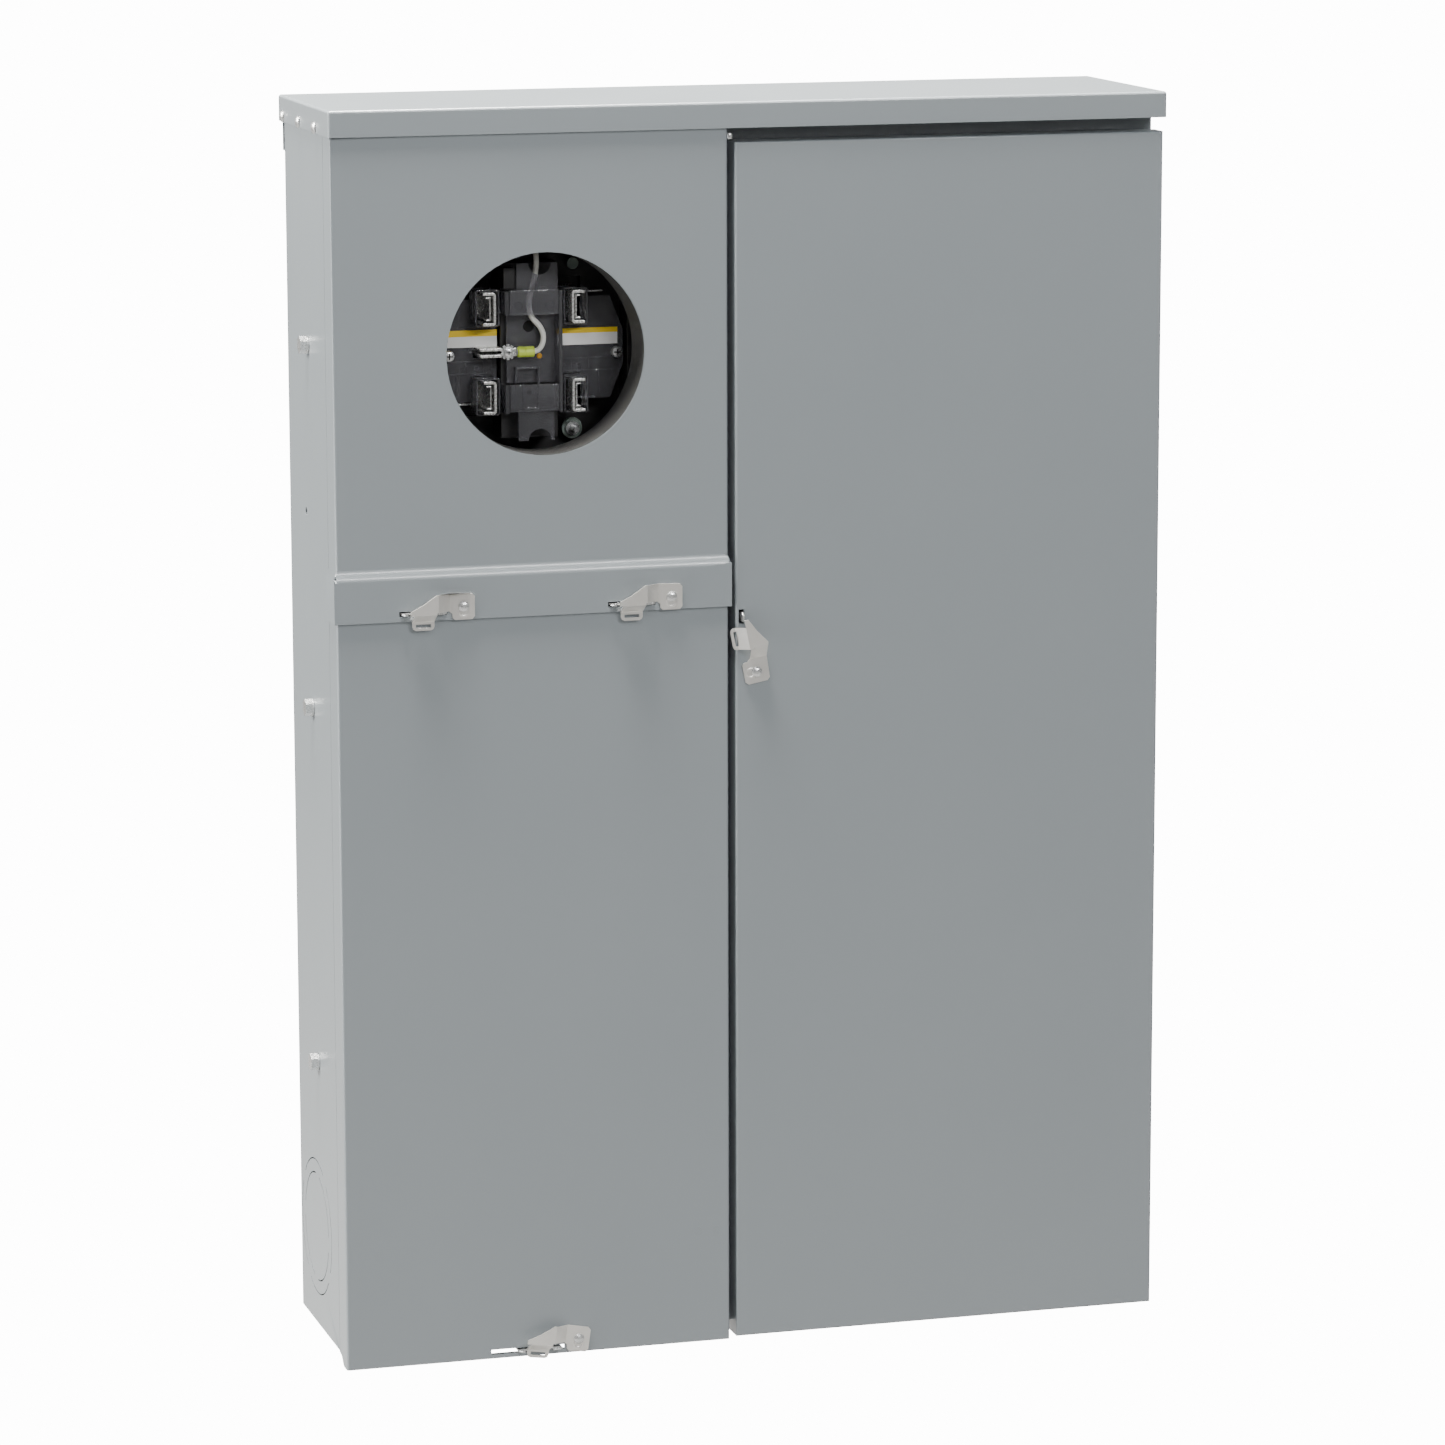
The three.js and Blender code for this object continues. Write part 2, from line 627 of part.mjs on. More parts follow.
function buildLatch(lip) {
  const near = -latchLift;
  const far = -latchArmLift;
  const bentPlan = [
    [10, near], [-10.5, near], [-22.5, far + latchPlate], [-50, far + latchPlate],
    [-50, far], [-23.4, far], [-11.4, near - latchPlate], [10, near - latchPlate],
  ];
  const plate = prism(latchOutline, 'y', far - 1, 0).intersect(prism(bentPlan, 'z', -20, 20));
  const lipBack = -lip.lift;
  const webProfile = [
    [far, -1], [far, -4.6], [lipBack - latchPlate, -lip.webEnd], [lipBack - latchPlate, -lip.reach],
    [lipBack, -lip.reach], [lipBack, -lip.webEnd + 0.8], [far + latchPlate, -3.8], [far + latchPlate, -1],
  ];
  const lipOutline = [
    [-lip.far, 0], [-lip.far, -lip.reach + lip.corner], [-lip.far + 0.9, -lip.reach + 0.9],
    [-lip.far + lip.corner, -lip.reach], [-lip.near - lip.corner, -lip.reach],
    [-lip.near - 0.9, -lip.reach + 0.9], [-lip.near, -lip.reach + lip.corner], [-lip.near, 0],
  ];
  const web = prism(webProfile, 'x', -lip.far, -lip.near).intersect(prism(lipOutline, 'y', far - 1, 0));
  const slotLow = -lip.reach + latchSlot.fromEdge;
  const slot = block(
    [-lip.far + latchSlot.margin, -lip.near - latchSlot.margin],
    [lipBack - latchPlate - 1, 1],
    [slotLow, slotLow + latchSlot.width],
  );
  const pivot = rod('y', [0, 0], rivetShankRadius + 0.4, far, 1, 18);
  return cut(join(plate, web), slot, pivot);
}

function latchRivet() {
  const head = domeRivet(rivetHeadRadius, 2.2, rivetShankRadius, latchLift + latchPlate + contact + sheet + 1.2);
  return head.rotateX(Math.PI);
}

const rivetStandoff = latchLift + latchPlate + contact;
const latchPlaces = [
  ['meter_latch_left', meterLatchX[0], stripFrontY, latchRivetHeight, 0, latchLip],
  ['meter_latch_right', meterLatchX[1], stripFrontY, latchRivetHeight, 0, latchLip],
  ['pull_latch', pullLatch.x, frontY, pullLatch.z, pullLatch.tilt, latchLip],
  ['door_latch', doorLatch.x, frontY, doorLatch.z, doorLatch.tilt, doorLatchLip],
];
for (const [name, x, y, z, turn, lip] of latchPlaces) {
  place(addPiece(name, buildLatch(lip), 'stainless'), x, y, z, turn);
  place(addPiece(`${name}_rivet`, latchRivet(), 'zinc'), x, y - rivetStandoff, z);
}

// Door hinges: a leaf with a pin on the box, a knuckle on the door

function hingeFixedLeaf() {
  const plateY = boxFrontY - contact - hingeY;
  const barrel = rod('z', [0, 0], hingeBarrelRadius, 0, hingeKnuckle, 20);
  const pin = rod('z', [0, 0], hingePinRadius, hingeKnuckle - 1, hingeKnuckle * 2 + 2, 16);
  const plate = block([-37, -8], [plateY - sheet, plateY], [-8, hingeKnuckle * 2 + 8]);
  const forward = block([-9.5, -8], [-sheet / 2, plateY], [0, hingeKnuckle]);
  const across = block([-9.5, -hingeBarrelRadius + 1], [-sheet / 2, sheet / 2], [0, hingeKnuckle]);
  return join(barrel, pin, plate, forward, across);
}

function hingeDoorLeaf() {
  const low = hingeKnuckle + 0.4;
  const high = low + hingeKnuckle - 1;
  const sheetBack = frontY - hingeY + sheet + contact;
  const solid = join(
    rod('z', [0, 0], hingeBarrelRadius, low, high, 20),
    block([-sheet / 2, sheet / 2], [sheetBack, -hingeBarrelRadius + 0.8], [low, high]),
    block([-24, sheet / 2], [sheetBack, sheetBack + sheet], [low, high]),
  );
  return cut(solid, rod('z', [0, 0], hingePinRadius + 0.35, low - 1, high + 1, 16));
}

evenly(3, -doorDrop + hingeEndMargin, doorTop - hingeEndMargin - hingeKnuckle * 2).forEach((z, i) => {
  place(addPiece(`hinge_box_leaf_${i + 1}`, hingeFixedLeaf(), 'paint'), hingeX, hingeY, z);
  place(addPiece(`hinge_door_leaf_${i + 1}`, hingeDoorLeaf(), 'paint'), hingeX, hingeY, z);
});

// Meter socket

const bracket = { halfWidth: 60, halfHeight: 70, plate: 2 };

function buildSocketBracket() {
  const front = socketBaseBackY + contact;
  const outer = block(
    [socketX - bracket.halfWidth, socketX + bracket.halfWidth],
    [front, innerBackY - contact],
    [socketZ - bracket.halfHeight, socketZ + bracket.halfHeight],
  );
  const hollow = block(
    [socketX - bracket.halfWidth - 1, socketX + bracket.halfWidth + 1],
    [front + bracket.plate, innerBackY],
    [socketZ - bracket.halfHeight + bracket.plate, socketZ + bracket.halfHeight - bracket.plate],
  );
  return cut(outer, hollow);
}

function buildSocketBase() {
  const slab = block(
    [socketX - socketBaseWidth / 2, socketX + socketBaseWidth / 2],
    [socketBaseFrontY, socketBaseBackY],
    [socketZ - socketBaseHeight / 2, socketZ + socketBaseHeight / 2],
  );
  const wallThick = 4;
  const wallFront = socketBaseFrontY - 26;
  const walls = [-1, 1].map((side) => {
    const outerX = socketX + side * socketBaseWidth / 2;
    const xs = [outerX, outerX - side * wallThick].sort((a, b) => a - b);
    return block(xs, [wallFront, socketBaseFrontY + 1], [socketZ - 60, socketZ + 60]);
  });
  const pockets = [-1, 1].flatMap((sx) => [-1, 1].map((sz) => block(
    [socketX + sx * jawSpacingX / 2 - 14, socketX + sx * jawSpacingX / 2 + 14],
    [socketBaseFrontY - 1, socketBaseFrontY + 8],
    [socketZ + sz * jawSpacingZ / 2 - 20, socketZ + sz * jawSpacingZ / 2 + 20],
  )));
  return cut(join(slab, ...walls), ...pockets);
}

// A moulded tower between the jaws: a block at each end with a notch, a recess between them for
// the bonding terminal, and a channel behind the upper block for its lead.
const leadChannel = { left: -9, right: 11, front: 2 };

function buildSocketColumn() {
  const recessY = frontY + columnFrontDepth;
  const front = recessY - columnProud;
  const half = columnWidth / 2;
  const top = socketZ + columnHeight / 2;
  const body = block(
    [socketX - half, socketX + half],
    [front, socketBaseFrontY - contact],
    [socketZ - columnHeight / 2, top],
  );
  const notches = [-1, 1].map((end) => rod(
    'y', [socketX + 5, socketZ + end * columnHeight / 2], 9.7, front - 1, socketBaseFrontY, 24,
  ));
  const recess = block([socketX - half - 1, socketX + half - 4], [front - 1, recessY], [socketZ - 26, socketZ + 30]);
  const channel = block(
    [socketX + leadChannel.left, socketX + leadChannel.right],
    [front + leadChannel.front, recessY],
    [socketZ + 29, top + 1],
  );
  const lowerPocket = block([socketX - 10, socketX + 4], [front - 1, front + 7], [socketZ - 46, socketZ - 25]);
  return cut(body, ...notches, recess, channel, lowerPocket);
}

// A formed jaw seen from the front as a bracket, open away from the middle of the socket.
function buildJaw() {
  const wallThick = 2.2;
  const halfW = jawWidth / 2;
  const halfH = jawHeight / 2;
  const depth = [0, jawLength - contact];
  const spring = { thick: 1.2, reach: 3, gap: 1.6, setBack: 3 };
  const springDepth = [spring.setBack, jawLength - contact];
  const springHalf = halfH - wallThick - spring.gap;
  const innerX = halfW - wallThick - spring.gap - spring.thick;
  return join(
    block([halfW - wallThick, halfW], depth, [-halfH, halfH]),
    block([-halfW, halfW], depth, [halfH - wallThick, halfH]),
    block([-halfW, halfW], depth, [-halfH, -halfH + wallThick]),
    block([innerX, innerX + spring.thick], springDepth, [-springHalf, springHalf]),
    block([innerX - spring.reach, innerX], springDepth, [springHalf - spring.thick, springHalf]),
    block([innerX - spring.reach, innerX], springDepth, [-springHalf, -springHalf + spring.thick]),
    block([-halfW, halfW], [jawLength - 4, jawLength - contact], [-halfH, halfH]),
  );
}

const jawY = frontY + jawTipDepth;
for (const [side, sx, turn] of [['left', -1, 0], ['right', 1, Math.PI]]) {
  for (const [row, sz] of [['upper', 1], ['lower', -1]]) {
    place(
      addPiece(`jaw_${row}_${side}`, buildJaw(), 'tin'),
      socketX + sx * jawSpacingX / 2,
      jawY,
      socketZ + sz * jawSpacingZ / 2,
      turn,
    );
  }
}

const fifthJaw = { fromMiddle: columnWidth / 2 + 10.2, halfWidth: 9.5, halfGap: 1.3, plate: 2.8 };

function buildFifthJaw() {
  const xs = [-fifthJaw.halfWidth, fifthJaw.halfWidth];
  const depth = [6, jawLength - contact];
  return join(
    block(xs, depth, [fifthJaw.halfGap, fifthJaw.halfGap + fifthJaw.plate]),
    block(xs, depth, [-fifthJaw.halfGap - fifthJaw.plate, -fifthJaw.halfGap]),
    block(xs, [jawLength - 5, depth[1]], [-fifthJaw.halfGap - 0.5, fifthJaw.halfGap + 0.5]),
  );
}

place(addPiece('jaw_fifth', buildFifthJaw(), 'tin'), socketX - fifthJaw.fromMiddle, jawY, socketZ);

const shieldPlate = 2.2;
const jawWindowX = jawWidth / 2 + 2.1;
const jawWindowZ = jawHeight / 2 + 2;
const shieldY = frontY + 62;

function buildShield(side) {
  const inner = columnWidth / 2 + 1.2;
  const outer = socketBaseWidth / 2 - 7;
  const outline = [
    [inner, 42], [outer - 11, 42], [outer, 14], [outer, -14], [outer - 11, -42], [inner, -42],
  ].map(([x, z]) => [socketX + side * x, socketZ + z]);
  const windows = [-1, 1].map((row) => block(
    [socketX + side * jawSpacingX / 2 - jawWindowX, socketX + side * jawSpacingX / 2 + jawWindowX],
    [shieldY - 1, shieldY + shieldPlate + 1],
    [socketZ + row * jawSpacingZ / 2 - jawWindowZ, socketZ + row * jawSpacingZ / 2 + jawWindowZ],
  ));
  const fifth = block(
    [socketX - fifthJaw.fromMiddle - 11, socketX - fifthJaw.fromMiddle + 11],
    [shieldY - 1, shieldY + shieldPlate + 1],
    [socketZ - 6, socketZ + 6],
  );
  return cut(prism(side > 0 ? outline.reverse() : outline, 'y', shieldY, shieldY + shieldPlate), ...windows, fifth);
}

addPiece('socket_bracket', buildSocketBracket(), 'zinc');
addPiece('socket_base', buildSocketBase(), 'black');
addPiece('socket_column', buildSocketColumn(), 'smoked');
addPiece('socket_shield_left', buildShield(-1), 'smoked');
addPiece('socket_shield_right', buildShield(1), 'smoked');

// Bonding terminal and its white lead, which loops in front of the column and goes up

const wireY = frontY + columnFrontDepth - 4.5;
const terminalX = -columnWidth / 2 + 5.5;
const wireStart = terminalX + 6.4;

function buildBondTerminal() {
  const centre = [socketX + terminalX, socketZ];
  const wireEnd = columnFrontDepth - 4.5;
  return join(
    rod('y', centre, 4.6, frontY + wireEnd + 1, frontY + columnFrontDepth - contact, 20),
    rod('y', centre, 3.2, frontY + wireEnd - 2.4, frontY + wireEnd + 2, 16),
  );
}

const wireRoute = [
  [wireStart, 0], [wireStart / 2, 0], [1, 0], [5.6, 1.5], [8.8, 7], [9.2, 14], [6, 21], [1, 26.5], [-2, 33],
  [-2.4, 42], [0.5, 54], [3.4, 66], [4, 74], [4.2, 80, 3], [4.2, 83, 10], [4.2, 83, 24],
  [4.2, 83, jawTipDepth + jawLength - columnFrontDepth + 3.5],
].map(([x, z, back = 0]) => new THREE.Vector3(socketX + x, wireY + back, socketZ + z));

function buildBondWire() {
  const circle = new THREE.Shape();
  circle.absarc(0, 0, 2.3, 0, Math.PI * 2);
  return new THREE.ExtrudeGeometry(circle, {
    extrudePath: new THREE.CatmullRomCurve3(wireRoute),
    steps: 48,
    curveSegments: 5,
    bevelEnabled: false,
  });
}

addPiece('bond_terminal', buildBondTerminal(), 'tin');
addPiece('bond_wire', toSolid(buildBondWire()), 'insulation');

const lug = { halfWidth: 13, height: 34, drop: 70, depth: 26, bore: 8, screwBore: 5 };

function buildLineLug() {
  const body = block([-lug.halfWidth, lug.halfWidth], [0, lug.depth], [-lug.height, 0]);
  const bore = rod('z', [0, lug.depth / 2], lug.bore, -lug.height - 1, -4, 20);
  const screw = rod('y', [0, -lug.height / 2], lug.screwBore, -1, lug.depth / 2, 6);
  return cut(body, bore, screw);
}

[['left', -1], ['right', 1]].forEach(([side, sx]) => {
  const z = socketZ - socketBaseHeight / 2 - contact;
  place(addPiece(`line_lug_${side}`, buildLineLug(), 'tin'), socketX + sx * jawSpacingX / 2, socketBaseFrontY, z);
});

// Breaker compartment

const pan = { halfWidth: (halfWidth - dividerX) / 2 - interiorGutter, bottomMargin: 150, topMargin: 110, postRadius: 6 };
const breakerFrontY = deadfrontY + sheet + 1.5;
const breakerBackY = breakerFrontY + breakerDepth;
const panZ = [pan.bottomMargin, bodyHeight - pan.topMargin];
const deadfrontScrewZ = [panZ[0] + 12, panZ[1] - 12];
const breakerTop = panZ[1] - 34;
const breakerZ = breakerTop - breakerHeight / 2;
const bus = { fromMiddle: 28, halfWidth: 9, thick: 4, stabPitch: 25.4, stab: 18, stabThick: 3, lift: 6 };

function buildInteriorPan() {
  const front = breakerBackY + bus.thick + bus.lift + contact * 2;
  const shell = cut(
    block([bayCentreX - pan.halfWidth, bayCentreX + pan.halfWidth], [front, innerBackY - contact], panZ),
    block(
      [bayCentreX - pan.halfWidth + sheet, bayCentreX + pan.halfWidth - sheet],
      [front + sheet, innerBackY],
      [panZ[0] - 1, panZ[1] + 1],
    ),
  );
  const posts = deadfrontScrewZ.map((z) => cut(
    rod('y', [bayCentreX, z], pan.postRadius, deadfrontY + sheet + contact, front + sheet / 2, 16),
    rod('y', [bayCentreX, z], 2.4, deadfrontY, deadfrontY + 22, 12),
  ));
  return join(shell, ...posts);
}

function buildBusBar() {
  const low = deadfrontScrewZ[0] + 30;
  const high = breakerTop;
  const y = breakerBackY + contact + bus.lift;
  const bar = block([-bus.halfWidth, bus.halfWidth], [y, y + bus.thick], [low, high]);
  const stabTop = breakerZ - breakerHeight / 2 - 20;
  const count = Math.floor((stabTop - low) / bus.stabPitch);
  const stabs = Array.from({ length: count }, (_, i) => {
    const z = low + 12 + i * bus.stabPitch;
    return block([-bus.halfWidth, bus.halfWidth], [y - bus.stab, y + 1], [z, z + bus.stabThick]);
  });
  return join(bar, ...stabs);
}

const neutralBar = { fromMiddle: pan.halfWidth + 25, halfWidth: 6, depth: 13, margin: 110, hole: 1.9, pitch: 16, standoff: 30 };

function buildNeutralBar() {
  const low = panZ[0] + 40;
  const high = breakerZ - neutralBar.margin;
  const y = innerBackY - neutralBar.standoff;
  const bar = block([-neutralBar.halfWidth, neutralBar.halfWidth], [y - neutralBar.depth, y], [low, high]);
  const feet = [low + 12, high - 20].map((z) => (
    block([-neutralBar.halfWidth, neutralBar.halfWidth], [y - 1, innerBackY - contact], [z, z + 8])
  ));
  const count = Math.floor((high - low) / neutralBar.pitch);
  const holes = Array.from({ length: count }, (_, i) => (
    rod('y', [0, low + 8 + i * neutralBar.pitch], neutralBar.hole, y - neutralBar.depth - 1, y - 4, 8)
  ));
  return cut(join(bar, ...feet), ...holes);
}

const handle = { halfWidth: 10, stick: 17, halfThick: 4.5, tilt: 17.5 };
const handleAxisY = breakerFrontY + 7;

function buildMainBreaker() {
  const body = block(
    [bayCentreX - breakerWidth / 2, bayCentreX + breakerWidth / 2],
    [breakerFrontY, breakerBackY],
    [breakerZ - breakerHeight / 2, breakerZ + breakerHeight / 2],
  );
  const pocketX = [bayCentreX - handle.halfWidth - 0.8, bayCentreX + handle.halfWidth + 0.8];
  const pocket = prism(circlePoints([handleAxisY, breakerZ], handleBarrelRadius + 0.8, 28), 'x', ...pocketX);
  return cut(body, pocket);
}

function circlePoints([a, b], radius, count) {
  return Array.from({ length: count }, (_, i) => {
    const angle = (i / count) * Math.PI * 2;
    return [a + radius * Math.cos(angle), b + radius * Math.sin(angle)];
  });
}

function buildHandle() {
  const barrel = prism(circlePoints([0, 0], handleBarrelRadius, 28), 'x', -handle.halfWidth, handle.halfWidth);
  const stick = block(
    [-handle.halfWidth + 1, handle.halfWidth - 1],
    [-handleBarrelRadius - handle.stick, -handleBarrelRadius + 3],
    [-handle.halfThick, handle.halfThick],
  );
  return join(barrel, stick);
}

const deadfront = { margin: 5, returnDepth: 10, raise: 6, fieldHalfWidth: 56, windowHalfHeight: 22 };

function buildDeadfront() {
  const xs = [dividerX + sheet / 2 + deadfront.margin, halfWidth - sheet - deadfront.margin];
  const zs = [sillHeight + deadfront.margin, bodyHeight - headerHeight - deadfront.margin];
  const back = deadfrontY + deadfront.returnDepth;
  const plate = cut(
    block(xs, [deadfrontY, back], zs),
    block([xs[0] + sheet, xs[1] - sheet], [deadfrontY + sheet, back + 1], [zs[0] + sheet, zs[1] - sheet]),
  );
  const fieldX = [bayCentreX - deadfront.fieldHalfWidth, bayCentreX + deadfront.fieldHalfWidth];
  const fieldZ = [deadfrontScrewZ[0] + 24, breakerZ - breakerHeight / 2 - 14];
  const field = block(fieldX, [deadfrontY - deadfront.raise, deadfrontY + sheet], fieldZ);
  const fieldHollow = block(
    [fieldX[0] + sheet, fieldX[1] - sheet],
    [deadfrontY - deadfront.raise + sheet, deadfrontY + sheet + 1],
    [fieldZ[0] + sheet, fieldZ[1] - sheet],
  );
  const window = block(
    [bayCentreX - handle.halfWidth - 3, bayCentreX + handle.halfWidth + 3],
    [deadfrontY - 1, deadfrontY + sheet + 1],
    [breakerZ - deadfront.windowHalfHeight, breakerZ + deadfront.windowHalfHeight],
  );
  const holes = deadfrontScrewZ.map((z) => rod('y', [bayCentreX, z], 2.6, deadfrontY - 1, deadfrontY + sheet + 1, 12));
  return cut(join(plate, field), fieldHollow, window, ...holes);
}

addPiece('interior_pan', buildInteriorPan(), 'paint');
[['left', -1], ['right', 1]].forEach(([side, sx]) => {
  place(addPiece(`bus_bar_${side}`, buildBusBar(), 'tin'), bayCentreX + sx * bus.fromMiddle, 0, 0);
  place(addPiece(`neutral_bar_${side}`, buildNeutralBar(), 'tin'), bayCentreX + sx * neutralBar.fromMiddle, 0, 0);
});
addPiece('main_breaker', buildMainBreaker(), 'black');
const handleMesh = addPiece('main_breaker_handle', buildHandle(), 'black');
handleMesh.position.set(bayCentreX, handleAxisY, breakerZ);
handleMesh.rotation.x = -THREE.MathUtils.degToRad(handle.tilt);
addPiece('deadfront', buildDeadfront(), 'paint');
deadfrontScrewZ.forEach((z, i) => {
  const screw = domeRivet(5.2, 2.4, 2, 18).rotateX(Math.PI);
  place(addPiece(`deadfront_screw_${i + 1}`, screw, 'zinc'), bayCentreX, deadfrontY - contact, z);
});

// The origin sits on the wall face of the top hanger rail, halfway up it.
enclosure.position.z = -(hangerTopZ - hangerHeight / 2);

export default enclosure;
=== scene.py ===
import bpy
import bmesh
import json
import math
from mathutils import Matrix, Quaternion, Vector


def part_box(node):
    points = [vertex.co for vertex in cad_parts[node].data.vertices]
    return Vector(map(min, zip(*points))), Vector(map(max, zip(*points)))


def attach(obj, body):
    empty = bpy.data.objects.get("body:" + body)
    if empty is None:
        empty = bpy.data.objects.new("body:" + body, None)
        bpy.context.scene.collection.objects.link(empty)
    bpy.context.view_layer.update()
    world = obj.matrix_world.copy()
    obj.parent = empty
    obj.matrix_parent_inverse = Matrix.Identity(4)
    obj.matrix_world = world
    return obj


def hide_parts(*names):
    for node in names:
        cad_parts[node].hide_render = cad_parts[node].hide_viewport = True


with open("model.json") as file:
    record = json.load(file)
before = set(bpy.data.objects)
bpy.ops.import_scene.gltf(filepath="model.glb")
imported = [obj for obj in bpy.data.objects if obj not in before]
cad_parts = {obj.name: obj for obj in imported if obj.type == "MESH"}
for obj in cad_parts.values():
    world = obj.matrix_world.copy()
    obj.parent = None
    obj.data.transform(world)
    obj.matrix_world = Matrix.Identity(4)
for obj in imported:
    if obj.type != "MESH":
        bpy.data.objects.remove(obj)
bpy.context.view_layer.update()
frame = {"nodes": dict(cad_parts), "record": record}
mm = 0.001

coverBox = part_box("pull_cover")
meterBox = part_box("meter_cover")
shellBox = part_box("box_shell")
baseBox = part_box("socket_base")
frontY = coverBox[0].y
stripY = meterBox[0].y
shellLeft = shellBox[0].x
shellBottom = shellBox[0].z
socketX = (baseBox[0].x + baseBox[1].x) / 2
socketZ = (baseBox[0].z + baseBox[1].z) / 2
openingRise = 3 * mm  # the covers' round opening is centred this far above the socket
openingZ = socketZ + openingRise


def newMaterial(name, colour, roughness, metallic=0.0):
    material = bpy.data.materials.new(name)
    material.use_nodes = True
    shader = material.node_tree.nodes["Principled BSDF"]
    shader.inputs["Base Color"].default_value = (*colour, 1)
    shader.inputs["Roughness"].default_value = roughness
    shader.inputs["Metallic"].default_value = metallic
    return material, shader


def addNode(material, kind, **values):
    node = material.node_tree.nodes.new(kind)
    for key, value in values.items():
        if key in node.inputs:
            node.inputs[key].default_value = value
        else:
            setattr(node, key, value)
    return node


def connect(material, start, end):
    material.node_tree.links.new(start, end)


def noiseFrom(material, scale, stretch=(1, 1, 1), detail=3.0, roughness=0.55):
    place = addNode(material, "ShaderNodeTexCoord")
    turn = addNode(material, "ShaderNodeMapping", Scale=stretch)
    noise = addNode(material, "ShaderNodeTexNoise", Scale=scale, Detail=detail, Roughness=roughness)
    connect(material, place.outputs["Object"], turn.inputs["Vector"])
    connect(material, turn.outputs["Vector"], noise.inputs["Vector"])
    return noise.outputs["Fac"]


def spread(material, value, low, high, fromLow=0.3, fromHigh=0.7):
    node = addNode(material, "ShaderNodeMapRange")
    node.inputs["From Min"].default_value = fromLow
    node.inputs["From Max"].default_value = fromHigh
    node.inputs["To Min"].default_value = low
    node.inputs["To Max"].default_value = high
    connect(material, value, node.inputs["Value"])
    return node.outputs["Result"]


def blendColours(material, factor, low, high):
    node = addNode(material, "ShaderNodeMix", data_type="RGBA")
    node.inputs[6].default_value = (*low, 1)
    node.inputs[7].default_value = (*high, 1)
    connect(material, factor, node.inputs[0])
    return node.outputs[2]


def addBump(material, shader, height, strength, distance):
    bump = addNode(material, "ShaderNodeBump", Strength=strength, Distance=distance)
    connect(material, height, bump.inputs["Height"])
    connect(material, bump.outputs["Normal"], shader.inputs["Normal"])


def powderCoat():
    look = {
        "base": (0.255, 0.284, 0.304), "light": (0.270, 0.299, 0.318), "roughness": (0.29, 0.33),
        "coat": 0.5, "coatRoughness": 0.16, "speckShare": 0.35,
    }
    material, shader = newMaterial("greyPowderCoat", look["base"], 0.4)
    cloud = noiseFrom(material, 5.0, detail=2)
    speck = noiseFrom(material, 900.0, detail=1)
    mixed = addNode(material, "ShaderNodeMath", operation="MULTIPLY_ADD")
    connect(material, speck, mixed.inputs[0])
    mixed.inputs[1].default_value = look["speckShare"]
    connect(material, cloud, mixed.inputs[2])
    factor = spread(material, mixed.outputs[0], 0, 1, 0.3, 1.1)
    shades = blendColours(material, factor, look["base"], look["light"])
    connect(material, shades, shader.inputs["Base Color"])
    shader.inputs["Coat Weight"].default_value = look["coat"]
    shader.inputs["Coat Roughness"].default_value = look["coatRoughness"]
    sheen = spread(material, noiseFrom(material, 24.0), *look["roughness"], 0.1, 0.9)
    connect(material, sheen, shader.inputs["Roughness"])
    addBump(material, shader, noiseFrom(material, 420.0, detail=2), 0.04, 0.0004)
    return material


def stampedSteel():
    look = {"dark": (0.74, 0.725, 0.69), "light": (0.82, 0.805, 0.77), "roughness": (0.31, 0.33), "metal": 0.6}
    material, shader = newMaterial("stampedStainless", look["dark"], 0.34, look["metal"])
    factor = spread(material, noiseFrom(material, 70.0, detail=2), 0, 1, 0.2, 0.8)
    shades = blendColours(material, factor, look["dark"], look["light"])
    connect(material, shades, shader.inputs["Base Color"])
    grain = noiseFrom(material, 600.0, stretch=(0.1, 1, 1))
    connect(material, spread(material, grain, *look["roughness"]), shader.inputs["Roughness"])
    return material


def zincPlate():
    look = {"base": (0.66, 0.67, 0.66), "dark": (0.64, 0.65, 0.65), "light": (0.76, 0.77, 0.77),
            "roughness": (0.22, 0.38), "metal": 0.8}
    material, shader = newMaterial("zincPlate", look["base"], 0.3, look["metal"])
    factor = spread(material, noiseFrom(material, 240.0), 0, 1)
    shades = blendColours(material, factor, look["dark"], look["light"])
    connect(material, shades, shader.inputs["Base Color"])
    polish = spread(material, noiseFrom(material, 700.0), *look["roughness"])
    connect(material, polish, shader.inputs["Roughness"])
    return material


def tinPlate():
    look = {"dark": (0.76, 0.76, 0.74), "light": (0.84, 0.84, 0.82), "roughness": (0.2, 0.36), "metal": 0.7}
    material, shader = newMaterial("tinPlate", look["dark"], 0.27, look["metal"])
    factor = spread(material, noiseFrom(material, 180.0), 0, 1)
    shades = blendColours(material, factor, look["dark"], look["light"])
    connect(material, shades, shader.inputs["Base Color"])
    polish = spread(material, noiseFrom(material, 500.0), *look["roughness"])
    connect(material, polish, shader.inputs["Roughness"])
    return material


def mouldedPlastic(name, low, high, roughness, grainStrength):
    material, shader = newMaterial(name, low, roughness)
    factor = spread(material, noiseFrom(material, 90.0), 0, 1)
    connect(material, blendColours(material, factor, low, high), shader.inputs["Base Color"])
    grain = noiseFrom(material, 800.0, detail=2)
    connect(material, spread(material, grain, roughness - 0.05, roughness + 0.07), shader.inputs["Roughness"])
    addBump(material, shader, grain, grainStrength, 0.0003)
    return material


